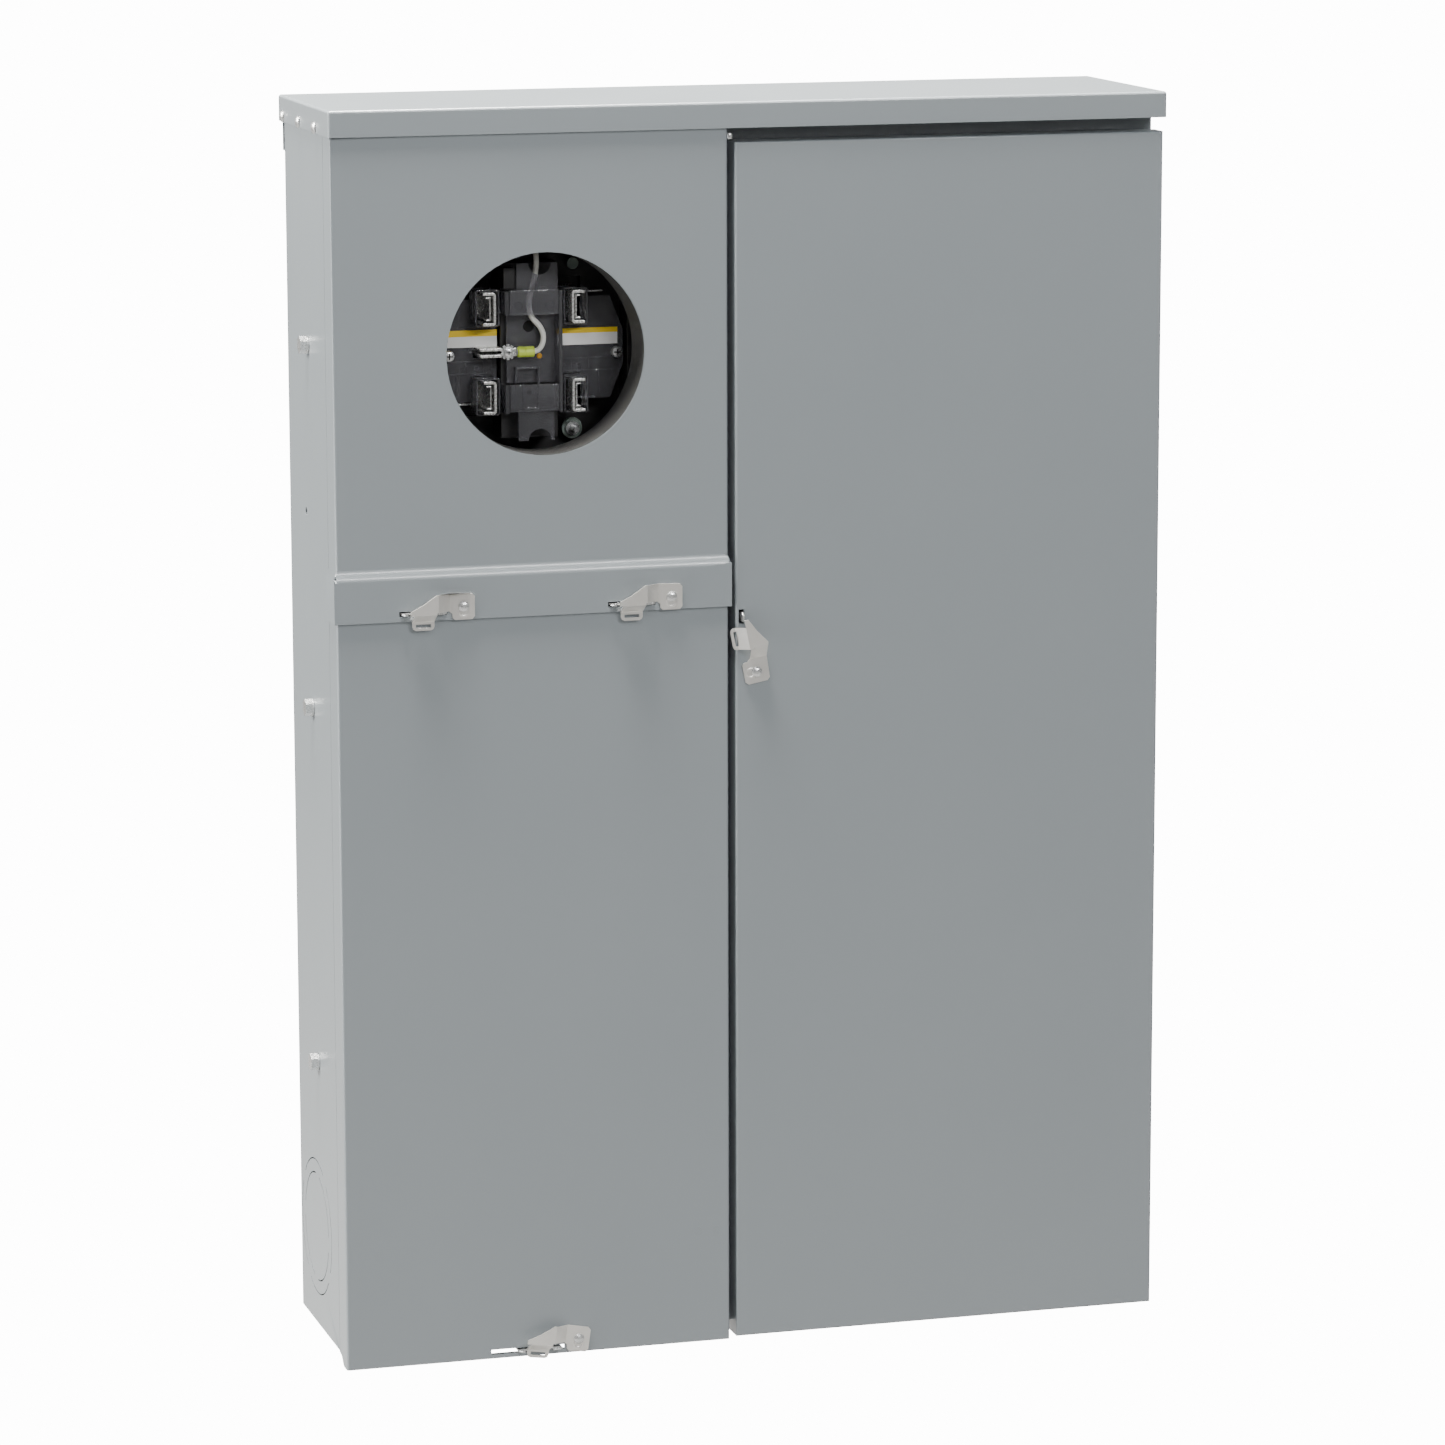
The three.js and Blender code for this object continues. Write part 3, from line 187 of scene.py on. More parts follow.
def clearMoulding():
    look = {"dark": (0.54, 0.54, 0.58), "light": (0.68, 0.68, 0.72), "roughness": (0.05, 0.12),
            "clear": 0.90, "ior": 1.46}
    material, shader = newMaterial("smokedMoulding", look["dark"], 0.1)
    shader.inputs["Transmission Weight"].default_value = look["clear"]
    shader.inputs["IOR"].default_value = look["ior"]
    haze = noiseFrom(material, 70.0, detail=3)
    tints = blendColours(material, spread(material, haze, 0, 1), look["dark"], look["light"])
    connect(material, tints, shader.inputs["Base Color"])
    polish = spread(material, noiseFrom(material, 220.0), *look["roughness"])
    connect(material, polish, shader.inputs["Roughness"])
    addBump(material, shader, noiseFrom(material, 130.0, detail=2), 0.12, 0.0006)
    return material


# painted shade: a near-black gritty finish standing in for the shaded grey paint inside the round opening
def paintedShadeLining():
    look = {"dark": (0.014, 0.014, 0.014), "light": (0.10, 0.10, 0.097), "roughness": (0.35, 0.7)}
    material, shader = newMaterial("paintedShadeLining", look["dark"], 0.5)
    grit = noiseFrom(material, 520.0, detail=4, roughness=0.7)
    shades = blendColours(material, spread(material, grit, 0, 1, 0.35, 0.68), look["dark"], look["light"])
    connect(material, shades, shader.inputs["Base Color"])
    connect(material, spread(material, grit, *look["roughness"]), shader.inputs["Roughness"])
    addBump(material, shader, grit, 0.9, 0.0012)
    return material


def printedLabel():
    # a yellow band over plain white, told apart by height on the label
    look = {"white": (0.9, 0.9, 0.89), "yellow": (0.95, 0.66, 0.03), "bandFoot": socketZ + 12.0 * mm}
    material, shader = newMaterial("plainLabel", look["white"], 0.35)
    place = addNode(material, "ShaderNodeTexCoord")
    axes = addNode(material, "ShaderNodeSeparateXYZ")
    band = addNode(material, "ShaderNodeMath", operation="GREATER_THAN")
    band.inputs[1].default_value = look["bandFoot"]
    connect(material, place.outputs["Object"], axes.inputs["Vector"])
    connect(material, axes.outputs["Z"], band.inputs[0])
    inks = blendColours(material, band.outputs[0], look["white"], look["yellow"])
    connect(material, inks, shader.inputs["Base Color"])
    connect(material, spread(material, noiseFrom(material, 300.0), 0.28, 0.42), shader.inputs["Roughness"])
    return material


paint = powderCoat()
stainless = stampedSteel()
zinc = zincPlate()
tin = tinPlate()
blackMoulding = mouldedPlastic("blackMoulding", (0.010, 0.010, 0.011), (0.018, 0.018, 0.019), 0.42, 0.06)
whiteInsulation = mouldedPlastic("whiteInsulation", (0.66, 0.66, 0.62), (0.74, 0.74, 0.70), 0.42, 0.04)
smokedMoulding = clearMoulding()
collarShadeLining = paintedShadeLining()
labelPrint = printedLabel()
sleeveMoulding = mouldedPlastic("greenSleeve", (0.50, 0.66, 0.05), (0.60, 0.76, 0.09), 0.36, 0.05)
amberMoulding = mouldedPlastic("amberPlug", (0.55, 0.27, 0.02), (0.66, 0.35, 0.04), 0.3, 0.05)
# painted shade: a near-black matte finish standing in for the depth of a hole
paintedHoleShade = mouldedPlastic("paintedHoleShade", (0.003, 0.003, 0.003), (0.005, 0.005, 0.005), 0.95, 0.02)
paleDisc = mouldedPlastic("paleDisc", (0.20, 0.26, 0.23), (0.30, 0.36, 0.32), 0.45, 0.05)

finishes = {
    "paint": paint,
    "latch_steel": stainless,
    "zinc_steel": zinc,
    "tinned_metal": tin,
    "black_plastic": blackMoulding,
    "smoked_plastic": smokedMoulding,
    "wire_insulation": whiteInsulation,
}
slotOf = {row["node"]: row["material_slot"] for row in frame["record"]["subparts"]}
bodyOf = {node: body for body, nodes in frame["record"]["behaviour"]["bodies"].items() for node in nodes}


def finishPiece(name, bm, material, body, replaced=(), sharpAngle=34):
    for face in bm.faces:
        face.smooth = True
    for edge in bm.edges:
        flat = len(edge.link_faces) == 2 and edge.calc_face_angle(0) < math.radians(sharpAngle)
        edge.smooth = flat
    mesh = bpy.data.meshes.new(name)
    bm.to_mesh(mesh)
    bm.free()
    mesh.materials.append(material)
    piece = bpy.data.objects.new(name, mesh)
    bpy.context.scene.collection.objects.link(piece)
    shade = piece.modifiers.new("evenShading", "WEIGHTED_NORMAL")
    shade.keep_sharp = True
    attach(piece, body)
    if replaced:
        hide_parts(*replaced)
    return piece


def copyOf(node):
    bm = bmesh.new()
    bm.from_mesh(frame["nodes"][node].data)
    bmesh.ops.remove_doubles(bm, verts=bm.verts, dist=2e-6)
    bmesh.ops.dissolve_limit(bm, angle_limit=math.radians(1.0), verts=bm.verts, edges=bm.edges)
    return bm


def roundEdges(bm, radius, segments, choose, clamp=True):
    edges = [edge for edge in bm.edges if len(edge.link_faces) == 2 and choose(edge)]
    if edges:
        bmesh.ops.bevel(
            bm, geom=edges, offset=radius, offset_type="OFFSET", segments=segments,
            profile=0.5, affect="EDGES", material=-1, clamp_overlap=clamp,
        )


def isConvex(edge, least=40):
    return edge.calc_face_angle_signed(0) > math.radians(least)


def broadBeside(face, edge, width):
    # true where the face runs on for at least this width beside the edge
    loop = next(item for item in edge.link_loops if item.face == face)
    start, end = loop.vert.co, loop.link_loop_next.vert.co
    inward = face.normal.cross((end - start).normalized()) * width
    inside = [bmesh.geometry.intersect_face_point(face, start.lerp(end, part) + inward)
              for part in (0.22, 0.47, 0.81)]
    return sum(inside) >= 2


def isBend(edge, least, flat):
    # a fold between two broad faces, not the thin cut edge of the sheet
    return isConvex(edge) and edge.calc_length() > least and all(
        broadBeside(face, edge, flat) for face in edge.link_faces)


def isCrease(edge, crease):
    # a long shallow fold, as over the seam between the two left covers
    fold = abs(math.degrees(edge.calc_face_angle_signed(0)))
    return edge.calc_length() > crease["least"] and crease["low"] < fold < crease["high"]


def foldedSheet(node, bend, least=60, flat=5, crease=None):
    bm = copyOf(node)
    if crease:
        roundEdges(bm, crease["radius"], 3, lambda edge: isCrease(edge, crease), clamp=False)
    roundEdges(bm, bend, 4, lambda edge: isBend(edge, least * mm, flat * mm), clamp=False)
    return finishPiece(node + "_body", bm, finishes[slotOf[node]], bodyOf[node], (node,))


def softened(node, radius, segments=2):
    bm = copyOf(node)
    roundEdges(bm, radius, segments, lambda edge: isConvex(edge) and edge.calc_length() > 0.3 * mm)
    return finishPiece(node + "_body", bm, finishes[slotOf[node]], bodyOf[node], (node,))


def addSlab(bm, xs, ys, zs, rounding=0.0, segments=2):
    made = bmesh.ops.create_cube(bm, size=1)["verts"]
    size = Vector((xs[1] - xs[0], ys[1] - ys[0], zs[1] - zs[0]))
    middle = Vector((xs[1] + xs[0], ys[1] + ys[0], zs[1] + zs[0])) / 2
    bmesh.ops.scale(bm, verts=made, vec=size)
    bmesh.ops.translate(bm, verts=made, vec=middle)
    if rounding:
        edges = list({edge for vert in made for edge in vert.link_edges})
        bmesh.ops.bevel(bm, geom=edges, offset=rounding, offset_type="OFFSET", segments=segments,
                        profile=0.5, affect="EDGES", material=-1, clamp_overlap=True)


def newVerts(bm):
    # the corners of every face that is not yet marked as finished
    return list({vert for face in bm.faces if not face.tag for vert in face.verts})


def addTurned(bm, profile, centre, steps=28, axis="Y"):
    # profile: (radius, depth towards the back) pairs, spun about the axis through centre
    verts = [bm.verts.new((radius, depth, 0)) for radius, depth in profile]
    edges = [bm.edges.new(pair) for pair in zip(verts, verts[1:])]
    bmesh.ops.spin(bm, geom=verts + edges, cent=(0, 0, 0), axis=(0, 1, 0), angle=math.tau,
                          steps=steps, use_merge=True)
    bmesh.ops.remove_doubles(bm, verts=newVerts(bm), dist=1e-6)
    turned = newVerts(bm)
    fresh = [face for face in bm.faces if not face.tag]
    bmesh.ops.recalc_face_normals(bm, faces=fresh)
    if axis == "X":
        bmesh.ops.rotate(bm, verts=turned, cent=(0, 0, 0), matrix=Matrix.Rotation(math.radians(-90), 3, "Z"))
    bmesh.ops.translate(bm, verts=turned, vec=centre)
    for face in fresh:
        face.tag = True


def keepFaces(bm):
    for face in bm.faces:
        face.tag = True


def atSocket(x, depth, z):
    # millimetres from the socket's middle, and behind the covers' front
    return Vector((socketX + x * mm, frontY + depth * mm, socketZ + z * mm))


def socketSlab(bm, x, depth, z, rounding=0.0):
    low, high = atSocket(x[0], depth[0], z[0]), atSocket(x[1], depth[1], z[1])
    addSlab(bm, (low.x, high.x), (low.y, high.y), (low.z, high.z), rounding * mm)
    keepFaces(bm)


def millimetres(pairs):
    return [(a * mm, b * mm) for a, b in pairs]


for node in sorted(frame["nodes"]):
    frame["nodes"][node].data.materials.clear()
    frame["nodes"][node].data.materials.append(finishes[slotOf[node]])
print("materials ready")

sheetBends = {"cover": 2.2 * mm, "shell": 2.0 * mm, "cap": 2.2 * mm}
seamCrease = {"radius": 2.4 * mm, "least": 200 * mm, "low": 14, "high": 40}
foldedSheet("box_shell", sheetBends["shell"])
foldedSheet("top_cap", sheetBends["cap"], least=15)
foldedSheet("meter_cover", sheetBends["cover"], crease=seamCrease)
for name in ("pull_cover", "door", "deadfront"):
    foldedSheet(name, sheetBends["cover"])
print("sheet metal folded")

softEdges = {
    "latch": 0.45 * mm, "staple": 0.3 * mm, "fifthJaw": 0.9 * mm, "moulding": 0.6 * mm, "bar": 0.4 * mm,
}
for name in ("meter_latch_left", "meter_latch_right", "pull_latch", "door_latch"):
    softened(name, softEdges["latch"])
for name in ("meter_staple_1", "meter_staple_2", "pull_staple", "door_staple"):
    softened(name, softEdges["staple"])
softened("jaw_fifth", softEdges["fifthJaw"], 3)
jawFold = {"outer": 3.0 * mm, "edge": 0.5 * mm}
for name in ("jaw_upper_left", "jaw_upper_right", "jaw_lower_left", "jaw_lower_right"):
    bm = copyOf(name)
    low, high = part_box(name)
    webX = high.x if name.endswith("left") else low.x
    roundEdges(bm, jawFold["outer"], 4, lambda edge: isConvex(edge) and all(
        abs(vert.co.x - webX) < 1e-5 and min(abs(vert.co.z - low.z), abs(vert.co.z - high.z)) < 1e-5
        for vert in edge.verts) and abs(edge.verts[0].co.y - edge.verts[1].co.y) > 0.01)
    roundEdges(bm, jawFold["edge"], 2, lambda edge: isConvex(edge) and edge.calc_length() > 0.4 * mm)
    finishPiece(name + "_body", bm, tin, bodyOf[name], (name,))
for name in ("main_breaker", "main_breaker_handle", "socket_base", "line_lug_left", "line_lug_right"):
    softened(name, softEdges["moulding"])
for name in ("hanger_rail_top", "hanger_rail_bottom", "bus_bar_left", "bus_bar_right"):
    softened(name, softEdges["bar"])

latchStamp = {
    "ring": [(2.2, 0.1), (2.7, -0.28), (3.4, -0.34), (4.1, -0.22), (4.5, 0.1)],
    "below": 4.8, "lift": 1.9,
}
latchTurns = {"meter_latch_left": 0, "meter_latch_right": 0, "pull_latch": 8, "door_latch": 79}
for name, tilt in latchTurns.items():
    low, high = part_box(name + "_rivet")
    middle = (low + high) / 2
    sheetY = (stripY if tilt == 0 else frontY) - latchStamp["lift"] * mm
    down = Matrix.Rotation(math.radians(tilt), 3, "Y") @ Vector((0, 0, -latchStamp["below"] * mm))
    bm = bmesh.new()
    addTurned(bm, millimetres(latchStamp["ring"]), (middle.x + down.x, sheetY, middle.z + down.z), 24)
    finishPiece(name + "_stamp", bm, stainless, bodyOf[name])
print("fittings softened")

weldMark = {
    "profile": [(0, 0.34), (1.5, 0.26), (2.3, 0.05), (2.9, -0.10), (3.5, -0.02), (3.7, 0.12)],
    "cover": [(-339, 86.5), (-324, 86.6), (-50.7, 88.1), (-35, 88.1), (-52, 583.4), (-35.9, 583.5)],
    "side": [(79.7, 853), (54.2, 853.5), (114.9, 605), (114.7, 586.7), (74.8, 504), (50.3, 505),
             (77.9, 163.4), (52.4, 164.2)],
}
bm = bmesh.new()
for x, z in weldMark["cover"]:
    addTurned(bm, millimetres(weldMark["profile"]), (x * mm, frontY, shellBottom + z * mm), 20)
finishPiece("pull_cover_weld_marks", bm, paint, "pull_cover")
bm = bmesh.new()
for depth, z in weldMark["side"]:
    addTurned(bm, millimetres(weldMark["profile"]),
              (shellLeft, frontY + depth * mm, shellBottom + z * mm), 20, "X")
finishPiece("side_weld_marks", bm, paint, "housing")
bm = bmesh.new()
clip = {"x": (-23.6, -19.4), "depth": (-1.5, 8.0), "z": (998.6, 1003.8)}
addSlab(bm, [x * mm for x in clip["x"]], [frontY + depth * mm for depth in clip["depth"]],
        [shellBottom + z * mm for z in clip["z"]], 1.4 * mm, 3)
finishPiece("hood_clip", bm, zinc, "housing")
print("weld marks made")

collar = {"radius": 82.4, "front": 1.6, "back": 37.8, "wall": 0.35}
# a thin near-black sheet over the collar's inner wall: painted shade, not a lining of its own
bm = bmesh.new()
outer, inner = collar["radius"], collar["radius"] - collar["wall"]
addTurned(bm, millimetres([
    (outer, collar["front"]), (inner, collar["front"]), (inner, collar["back"]), (outer, collar["back"]),
    (outer, collar["front"]),
]), (socketX, frontY, openingZ), 96)
finishPiece("collar_shade_lining", bm, collarShadeLining, "meter_cover")

column = {
    "walls": [((-24.2, -20.6), (39, 62), (30.5, 50)), ((-24.2, -20.6), (39, 62), (-50, -26.5)),
              ((21, 24.2), (39, 62), (-50, 50))],
    "upperTab": ((-14, 20.5), (40.5, 42.3), (49, 72.6)),
    "upperBlock": ((-20.4, 20.8), (38.3, 40.2), (30.6, 51)),
    "middle": ((-20.2, 20.8), (51.2, 54), (-26, 31)),
    "lowerBlock": ((-20.4, 20.8), (38.3, 42), (-48.5, -26.3)),
    "lowerTab": ((-13, 17), (40.5, 44), (-72.6, -47)),
}


def notchedTab(bm, box, centreX, edgeZ, radius):
    # a slab with a round notch bitten out of its outer end
    (x0, x1), depth, (z0, z1) = box
    steps = 14
    low = edgeZ < 0
    edge, foot = (z0, z1) if low else (z1, z0)
    sign = 1 if low else -1
    ring = [(centreX + radius * math.cos(turn), edge + sign * radius * math.sin(turn))
            for turn in (math.pi * step / steps for step in range(steps + 1))]
    outline = [(x1, foot), (x1, edge)] + ring + [(x0, edge), (x0, foot)]
    verts = [bm.verts.new(atSocket(x, depth[0], z)) for x, z in outline]
    face = bm.faces.new(verts)
    pushed = bmesh.ops.extrude_face_region(bm, geom=[face])["geom"]
    bmesh.ops.translate(bm, verts=[item for item in pushed if isinstance(item, bmesh.types.BMVert)],
                        vec=(0, (depth[1] - depth[0]) * mm, 0))
    bmesh.ops.recalc_face_normals(bm, faces=[item for item in bm.faces if not item.tag])
    keepFaces(bm)


bm = bmesh.new()
for box in column["walls"]:
    socketSlab(bm, *box, 0.7)
socketSlab(bm, *column["upperBlock"], 0.9)
socketSlab(bm, *column["lowerBlock"], 0.9)
socketSlab(bm, *column["middle"], 0.5)
notchedTab(bm, column["upperTab"], 5.5, 1, 9.5)
notchedTab(bm, column["lowerTab"], 5, -1, 9.8)
bossRing = [(0, 0.2), (2.1, 0.2), (2.5, -0.5), (3.5, -0.5), (3.9, 0.4), (3.9, 1.2)]
for x, z in ((-12.6, 38.4), (13.4, 38.6)):
    addTurned(bm, millimetres(bossRing), atSocket(x, 38.8, z), 24)
screwBoss = [(2.0, 3.4), (2.0, -0.7), (4.2, -0.7), (4.8, 0.2), (4.8, 3.4), (2.0, 3.4)]
addTurned(bm, millimetres(screwBoss), atSocket(-4.4, 39.2, -32.6), 28)
holeRim = [(4.4, 2.2), (4.4, -0.3), (5.3, -0.3), (5.3, 2.2), (4.4, 2.2)]
addTurned(bm, millimetres(holeRim), atSocket(-1.6, 51.4, 20), 28)
for x, z in (((-14, -12.4), (-26, -13)), ((4.8, 6.4), (-26, -13)), ((-14, 6.4), (-14.4, -13))):
    socketSlab(bm, x, (46, 52), z, 0.3)
for x, z in (((-10, -8.9), (-46, -25)), ((2.4, 3.5), (-46, -25)), ((-10, 3.5), (-46, -45))):
    socketSlab(bm, x, (37.4, 39.2), z, 0.3)
finishPiece("socket_tower", bm, smokedMoulding, "housing", ("socket_column",))

bm = bmesh.new()
socketSlab(bm, (-24, 24), (56, 85), (-72, 72), 0.8)
socketSlab(bm, (-24.2, -14.6), (43, 60), (52, 69), 0.4)
# a black disc filling the screw boss's bore: painted shade for the bore
addTurned(bm, millimetres([(0, 0), (1.9, 0), (1.9, 0.4), (0, 0.4)]), atSocket(-4.4, 38.9, -32.6), 20)
finishPiece("socket_tower_core_and_bore_shade", bm, blackMoulding, "housing")

# a near-black disc inside the tower's round hole: painted shade for the hole's depth
bm = bmesh.new()
addTurned(bm, millimetres([(0, -0.2), (4.5, -0.2), (4.5, 0.2), (0, 0.2)]), atSocket(-1.6, 51.1, 20), 24)
finishPiece("socket_tower_hole_shade", bm, paintedHoleShade, "housing")
print("socket tower made")

shields = {"front": 62.0, "ridges": [(-8.6, 0.9), (-18.6, 0.8)], "edge": 0.5}
for side, name in ((-1, "socket_shield_left"), (1, "socket_shield_right")):
    bm = copyOf(name)
    roundEdges(bm, shields["edge"] * mm, 2, isConvex)
    keepFaces(bm)
    for z, high in shields["ridges"]:
        socketSlab(bm, sorted((side * 27.5, side * 75)),
                   (shields["front"] - high, shields["front"] + 0.4), (z - 0.45, z + 0.45), 0.2)
    for x in (37, 52):
        socketSlab(bm, (side * x - 0.45, side * x + 0.45), (shields["front"] - 0.7, shields["front"] + 0.4),
                   (-18, -9), 0.2)
    for z in (36.2, -36.2):
        for x in (27.6, 46.5):
            socketSlab(bm, (side * x - 0.7, side * x + 0.7), (46, 63), (z - 14.5, z + 14.5), 0.35)
        for end in (14.5, -14.5):
            socketSlab(bm, sorted((side * 28.2, side * 46)), (46, 63), (z + end - 0.7, z + end + 0.7), 0.35)
    socketSlab(bm, (side * 60 - 0.5, side * 60 + 0.5), (shields["front"] - 0.8, shields["front"] + 0.4),
               (-38, -20), 0.2)
    for x, z in ((30, -14), (43, -14)):
        addTurned(bm, millimetres([(1.3, 0), (1.3, -0.6), (2.2, -0.6), (2.2, 0), (1.3, 0)]),
                  atSocket(side * x, shields["front"], z), 18)
    finishPiece(name + "_body", bm, smokedMoulding, "housing", (name,))

labels = {"left": ((-74, -25.8), (3.2, 17.2)), "right": ((27.4, 76), (2.4, 16.2)), "front": 60.9, "thick": 0.25}
bm = bmesh.new()
for side in ("left", "right"):
    xs, zs = labels[side]
    socketSlab(bm, xs, (labels["front"], labels["front"] + labels["thick"]), zs)
finishPiece("socket_labels", bm, labelPrint, "housing")

screwPlaces = ((-66.5, -3.4), (75, -4.4))
headProfile = [(0, -1.7), (2.0, -1.7), (3.8, -1.2), (4.7, -0.1), (4.7, 3.2), (0, 3.2)]
bm = bmesh.new()
for x, z in screwPlaces:
    addTurned(bm, millimetres(headProfile), atSocket(x, shields["front"] - 3.4, z), 26)
studProfile = [(0, -14), (2.0, -14), (2.7, -13.2), (2.7, -2), (5.8, -2), (6.0, -1.2), (6.0, 1), (0, 1)]
addTurned(bm, millimetres(studProfile), atSocket(41, 75, -68), 26)
for x, z in (((49, 65), (45.3, 46.5)), ((41, 58), (-42.2, -41)), ((-58, -47), (-45, -43.6))):
    socketSlab(bm, x, (66, 70), z, 0.3)
finishPiece("socket_screws", bm, zinc, "housing")

# black crosses laid on the screw heads: painted shade for the slot recesses
bm = bmesh.new()
for x, z in screwPlaces:
    for width, height in ((2.8, 0.55), (0.55, 2.8)):
        socketSlab(bm, (x - width, x + width), (shields["front"] - 5.2, shields["front"] - 4.6),
                   (z - height, z + height))
finishPiece("screw_slot_shades", bm, blackMoulding, "housing")

bm = bmesh.new()
addTurned(bm, millimetres([(0, 0), (4.6, 0), (4.9, 0.4), (4.9, 2.5), (0, 2.5)]), atSocket(42, 74, 68), 26)
washerProfile = [(3.4, 0), (8.6, 0), (8.8, 0.8), (8.8, 2), (3.4, 2), (3.4, 0)]
addTurned(bm, millimetres(washerProfile), atSocket(41, 76, -68), 30)
finishPiece("socket_discs", bm, paleDisc, "housing")
print("socket shields made")

bond = {"x": -20.0, "z": 0.0, "sleeveX": -12.6}
bm = bmesh.new()
petals = 10
for step in range(petals):
    turn = math.tau * step / petals
    keep = len(bm.verts)
    socketSlab(bm, (-1.1, 1.1), (46.2, 47.2), (4.2, 6.4), 0.2)
    bm.verts.ensure_lookup_table()
    fresh = bm.verts[keep:]
    bmesh.ops.rotate(bm, verts=fresh, cent=atSocket(0, 46.7, 0), matrix=Matrix.Rotation(turn, 3, "Y"))
    bmesh.ops.translate(bm, verts=fresh, vec=(bond["x"] * mm, 0, bond["z"] * mm))
bondHead = [(0, -2.6), (2.4, -2.6), (3.6, -1.9), (3.9, -0.8), (3.9, 0.4), (5.0, 0.5), (5.2, 1.6), (0, 1.6)]
addTurned(bm, millimetres(bondHead), atSocket(bond["x"], 45.8, bond["z"]), 30)
socketSlab(bm, (bond["x"] + 2, -12), (46.4, 47.8), (-3.4, 3.4), 0.5)
finishPiece("bond_ring", bm, zinc, "housing", ("bond_terminal",))

bm = bmesh.new()
addTurned(bm, millimetres([
    (2.4, 0), (3.7, 0), (4.4, 0.8), (4.4, 5.6), (4.1, 6.0), (4.4, 6.4), (4.4, 13.2),
    (3.9, 14), (2.4, 14), (2.4, 0),
]), (0, 0, 0), 28, "X")
bmesh.ops.translate(bm, verts=bm.verts, vec=atSocket(bond["sleeveX"], 45.5, bond["z"]))
finishPiece("bond_sleeve", bm, sleeveMoulding, "housing")

# a black cross laid on the bond screw head: painted shade for its slot recess
bm = bmesh.new()
socketSlab(bm, (bond["x"] - 1.9, bond["x"] + 1.9), (42.9, 43.3), (-0.35, 0.35))
socketSlab(bm, (bond["x"] - 0.35, bond["x"] + 0.35), (42.9, 43.3), (-1.9, 1.9))
finishPiece("bond_screw_slot_shades", bm, blackMoulding, "housing")

bm = bmesh.new()
plugProfile = [(0, -0.5), (1.6, -0.5), (2.2, 0), (2.2, 0.6), (0, 0.6)]
addTurned(bm, millimetres(plugProfile), atSocket(7.4, 50.9, -4.4), 20)
finishPiece("amber_plug", bm, amberMoulding, "housing")
print("bond lead fitted")

cameraAt = {
    "place": (-1.3214, -4.6835, 0.3821), "azimuth": -16.05, "elevation": 10.40, "roll": -0.13,
    "lens": 143.75, "sensor": 36.0,
}
cameraData = bpy.data.cameras.new("camera")
cameraData.lens = cameraAt["lens"]
cameraData.sensor_width = cameraAt["sensor"]
cameraData.clip_end = 60
camera = bpy.data.objects.new("camera", cameraData)
bpy.context.scene.collection.objects.link(camera)
turn, rise = math.radians(cameraAt["azimuth"]), math.radians(cameraAt["elevation"])
backward = Vector((math.sin(turn) * math.cos(rise), -math.cos(turn) * math.cos(rise), math.sin(rise)))
camera.rotation_mode = "QUATERNION"
camera.location = cameraAt["place"]
camera.rotation_quaternion = (-backward).to_track_quat("-Z", "Y") @ Quaternion(
    (0, 0, 1), math.radians(cameraAt["roll"]))
bpy.context.scene.camera = camera

studio = {"light": 0.23, "seen": 14.0, "floorGrey": 0.2, "floorDrop": 0.45, "floorReach": 14}
floorLook, floorShader = newMaterial("paleFloor", (studio["floorGrey"],) * 3, 0.9)
floorTree = floorLook.node_tree
floorGlow = addNode(floorLook, "ShaderNodeEmission", Strength=studio["seen"])
floorMix = addNode(floorLook, "ShaderNodeMixShader")
floorRays = addNode(floorLook, "ShaderNodeLightPath")
connect(floorLook, floorRays.outputs["Is Camera Ray"], floorMix.inputs[0])
connect(floorLook, floorShader.outputs["BSDF"], floorMix.inputs[1])
connect(floorLook, floorGlow.outputs["Emission"], floorMix.inputs[2])
connect(floorLook, floorMix.outputs["Shader"], floorTree.nodes["Material Output"].inputs["Surface"])
bm = bmesh.new()
bmesh.ops.create_grid(bm, x_segments=1, y_segments=1, size=studio["floorReach"])
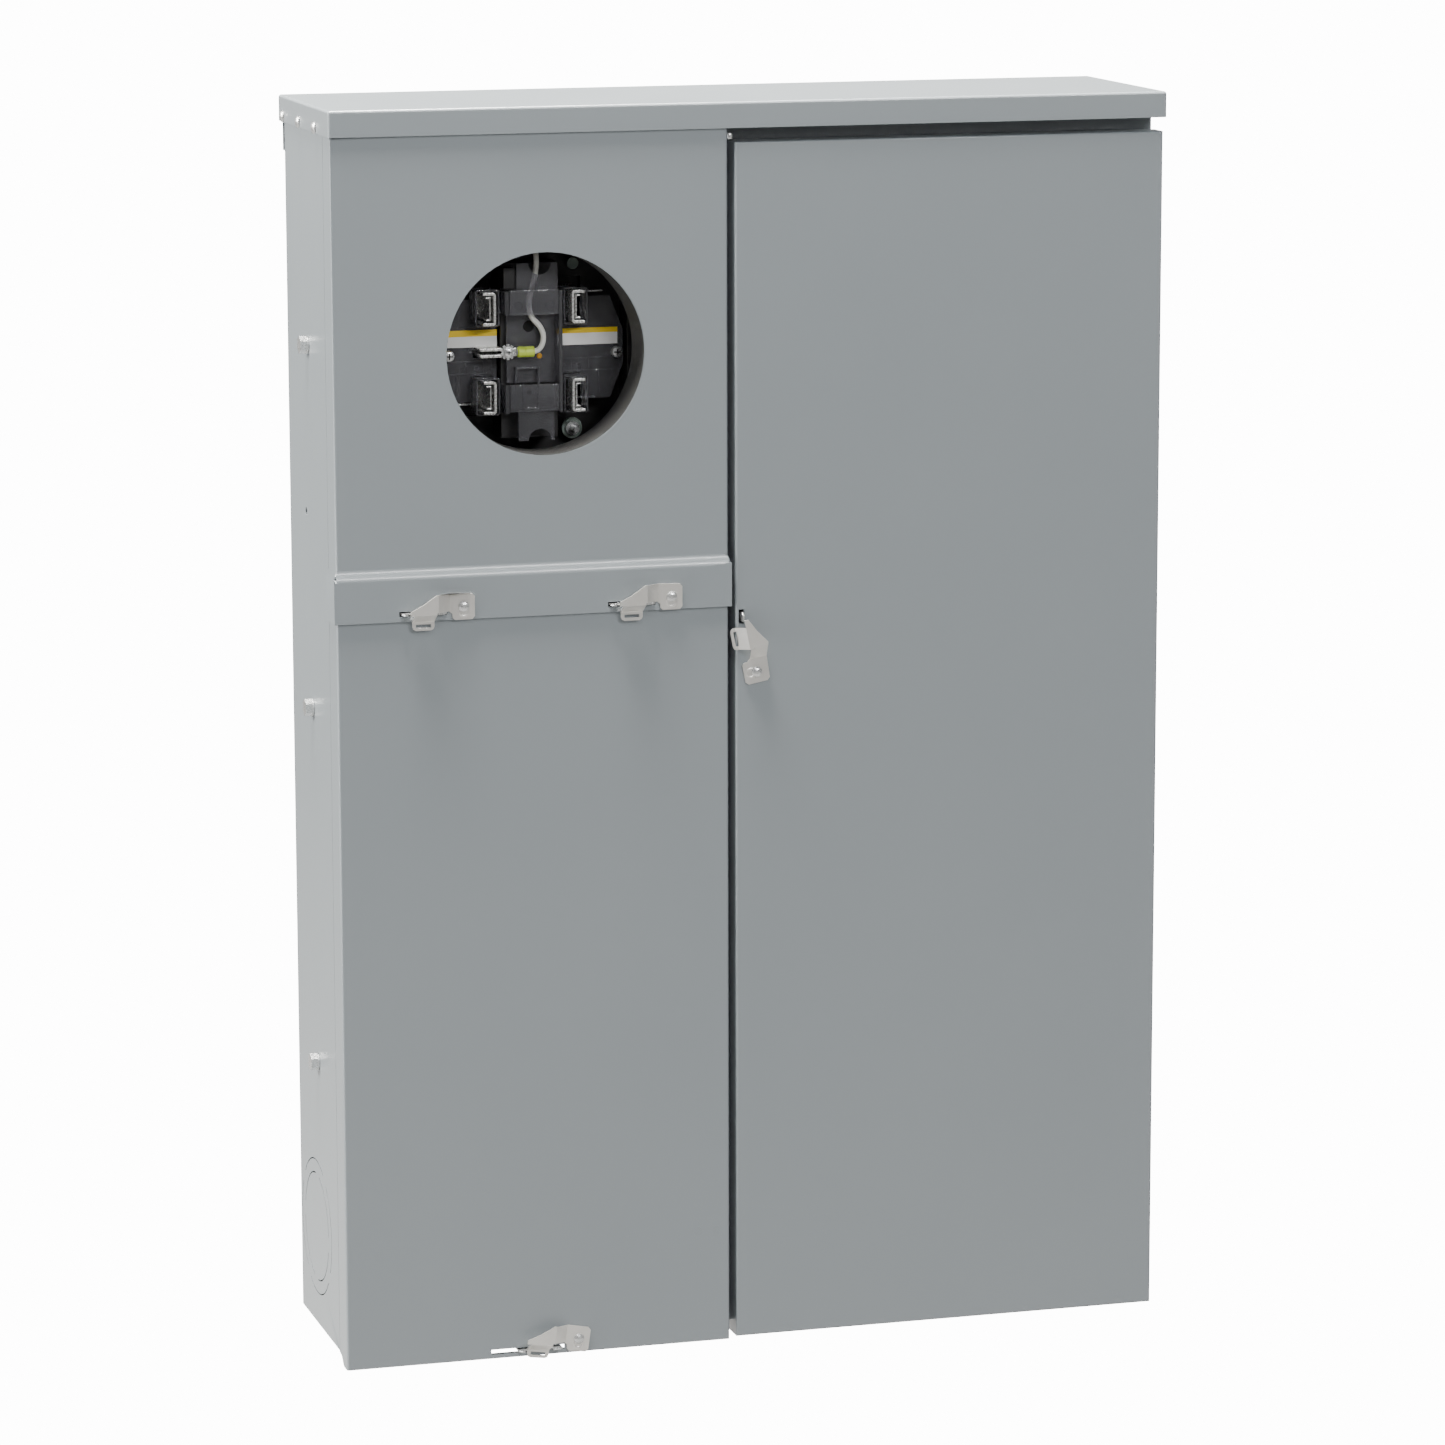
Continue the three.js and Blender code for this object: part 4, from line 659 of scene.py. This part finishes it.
bmesh.ops.translate(bm, verts=bm.verts, vec=(0, 0, shellBottom - studio["floorDrop"]))
floorMesh = bpy.data.meshes.new("floor")
bm.to_mesh(floorMesh)
bm.free()
floorMesh.materials.append(floorLook)
floor = bpy.data.objects.new("floor", floorMesh)
bpy.context.scene.collection.objects.link(floor)

world = bpy.data.worlds.new("studio")
world.use_nodes = True
skyTree = world.node_tree
sky = skyTree.nodes["Background"]
sky.inputs["Color"].default_value = (1, 1, 1, 1)
rayKind = skyTree.nodes.new("ShaderNodeLightPath")
skyLevel = skyTree.nodes.new("ShaderNodeMapRange")
skyLevel.inputs["To Min"].default_value = studio["light"]
skyLevel.inputs["To Max"].default_value = studio["seen"]
skyTree.links.new(rayKind.outputs["Is Camera Ray"], skyLevel.inputs["Value"])
skyTree.links.new(skyLevel.outputs["Result"], sky.inputs["Strength"])
bpy.context.scene.world = world


def softLight(name, place, target, size, power, tint=(1, 1, 1)):
    data = bpy.data.lights.new(name, "AREA")
    data.shape = "RECTANGLE"
    data.size, data.size_y = size
    data.energy = power
    data.color = tint
    light = bpy.data.objects.new(name, data)
    bpy.context.scene.collection.objects.link(light)
    light.location = place
    light.rotation_mode = "QUATERNION"
    light.rotation_quaternion = (Vector(target) - Vector(place)).to_track_quat("-Z", "Y")
    return light


warmTint = (1.0, 0.975, 0.925)
softLight("keyLight", (-1.0, -3.0, 2.1), (0, -0.1, 0.2), (1.0, 0.8), 24)
softLight("sideLight", (-3.0, 0.5, 1.1), (-0.35, -0.1, -0.3), (1.4, 1.6), 275, warmTint)
softLight("topLight", (-0.2, 0.1, 2.6), (0, -0.05, 0), (2.2, 0.8), 690, warmTint)
softLight("fillLight", (3.2, 0.55, 0.9), (0.35, -0.1, -0.2), (1.2, 1.4), 90)
softLight("frontStrip", (1.3, -4.4, 1.75), (0, -0.2, 0.1), (1.9, 0.2), 95)
softLight("sideStrip", (-2.6, -0.9, -0.8), (-0.35, -0.19, -0.8), (0.2, 1.2), 17)
print("camera and lights ready")
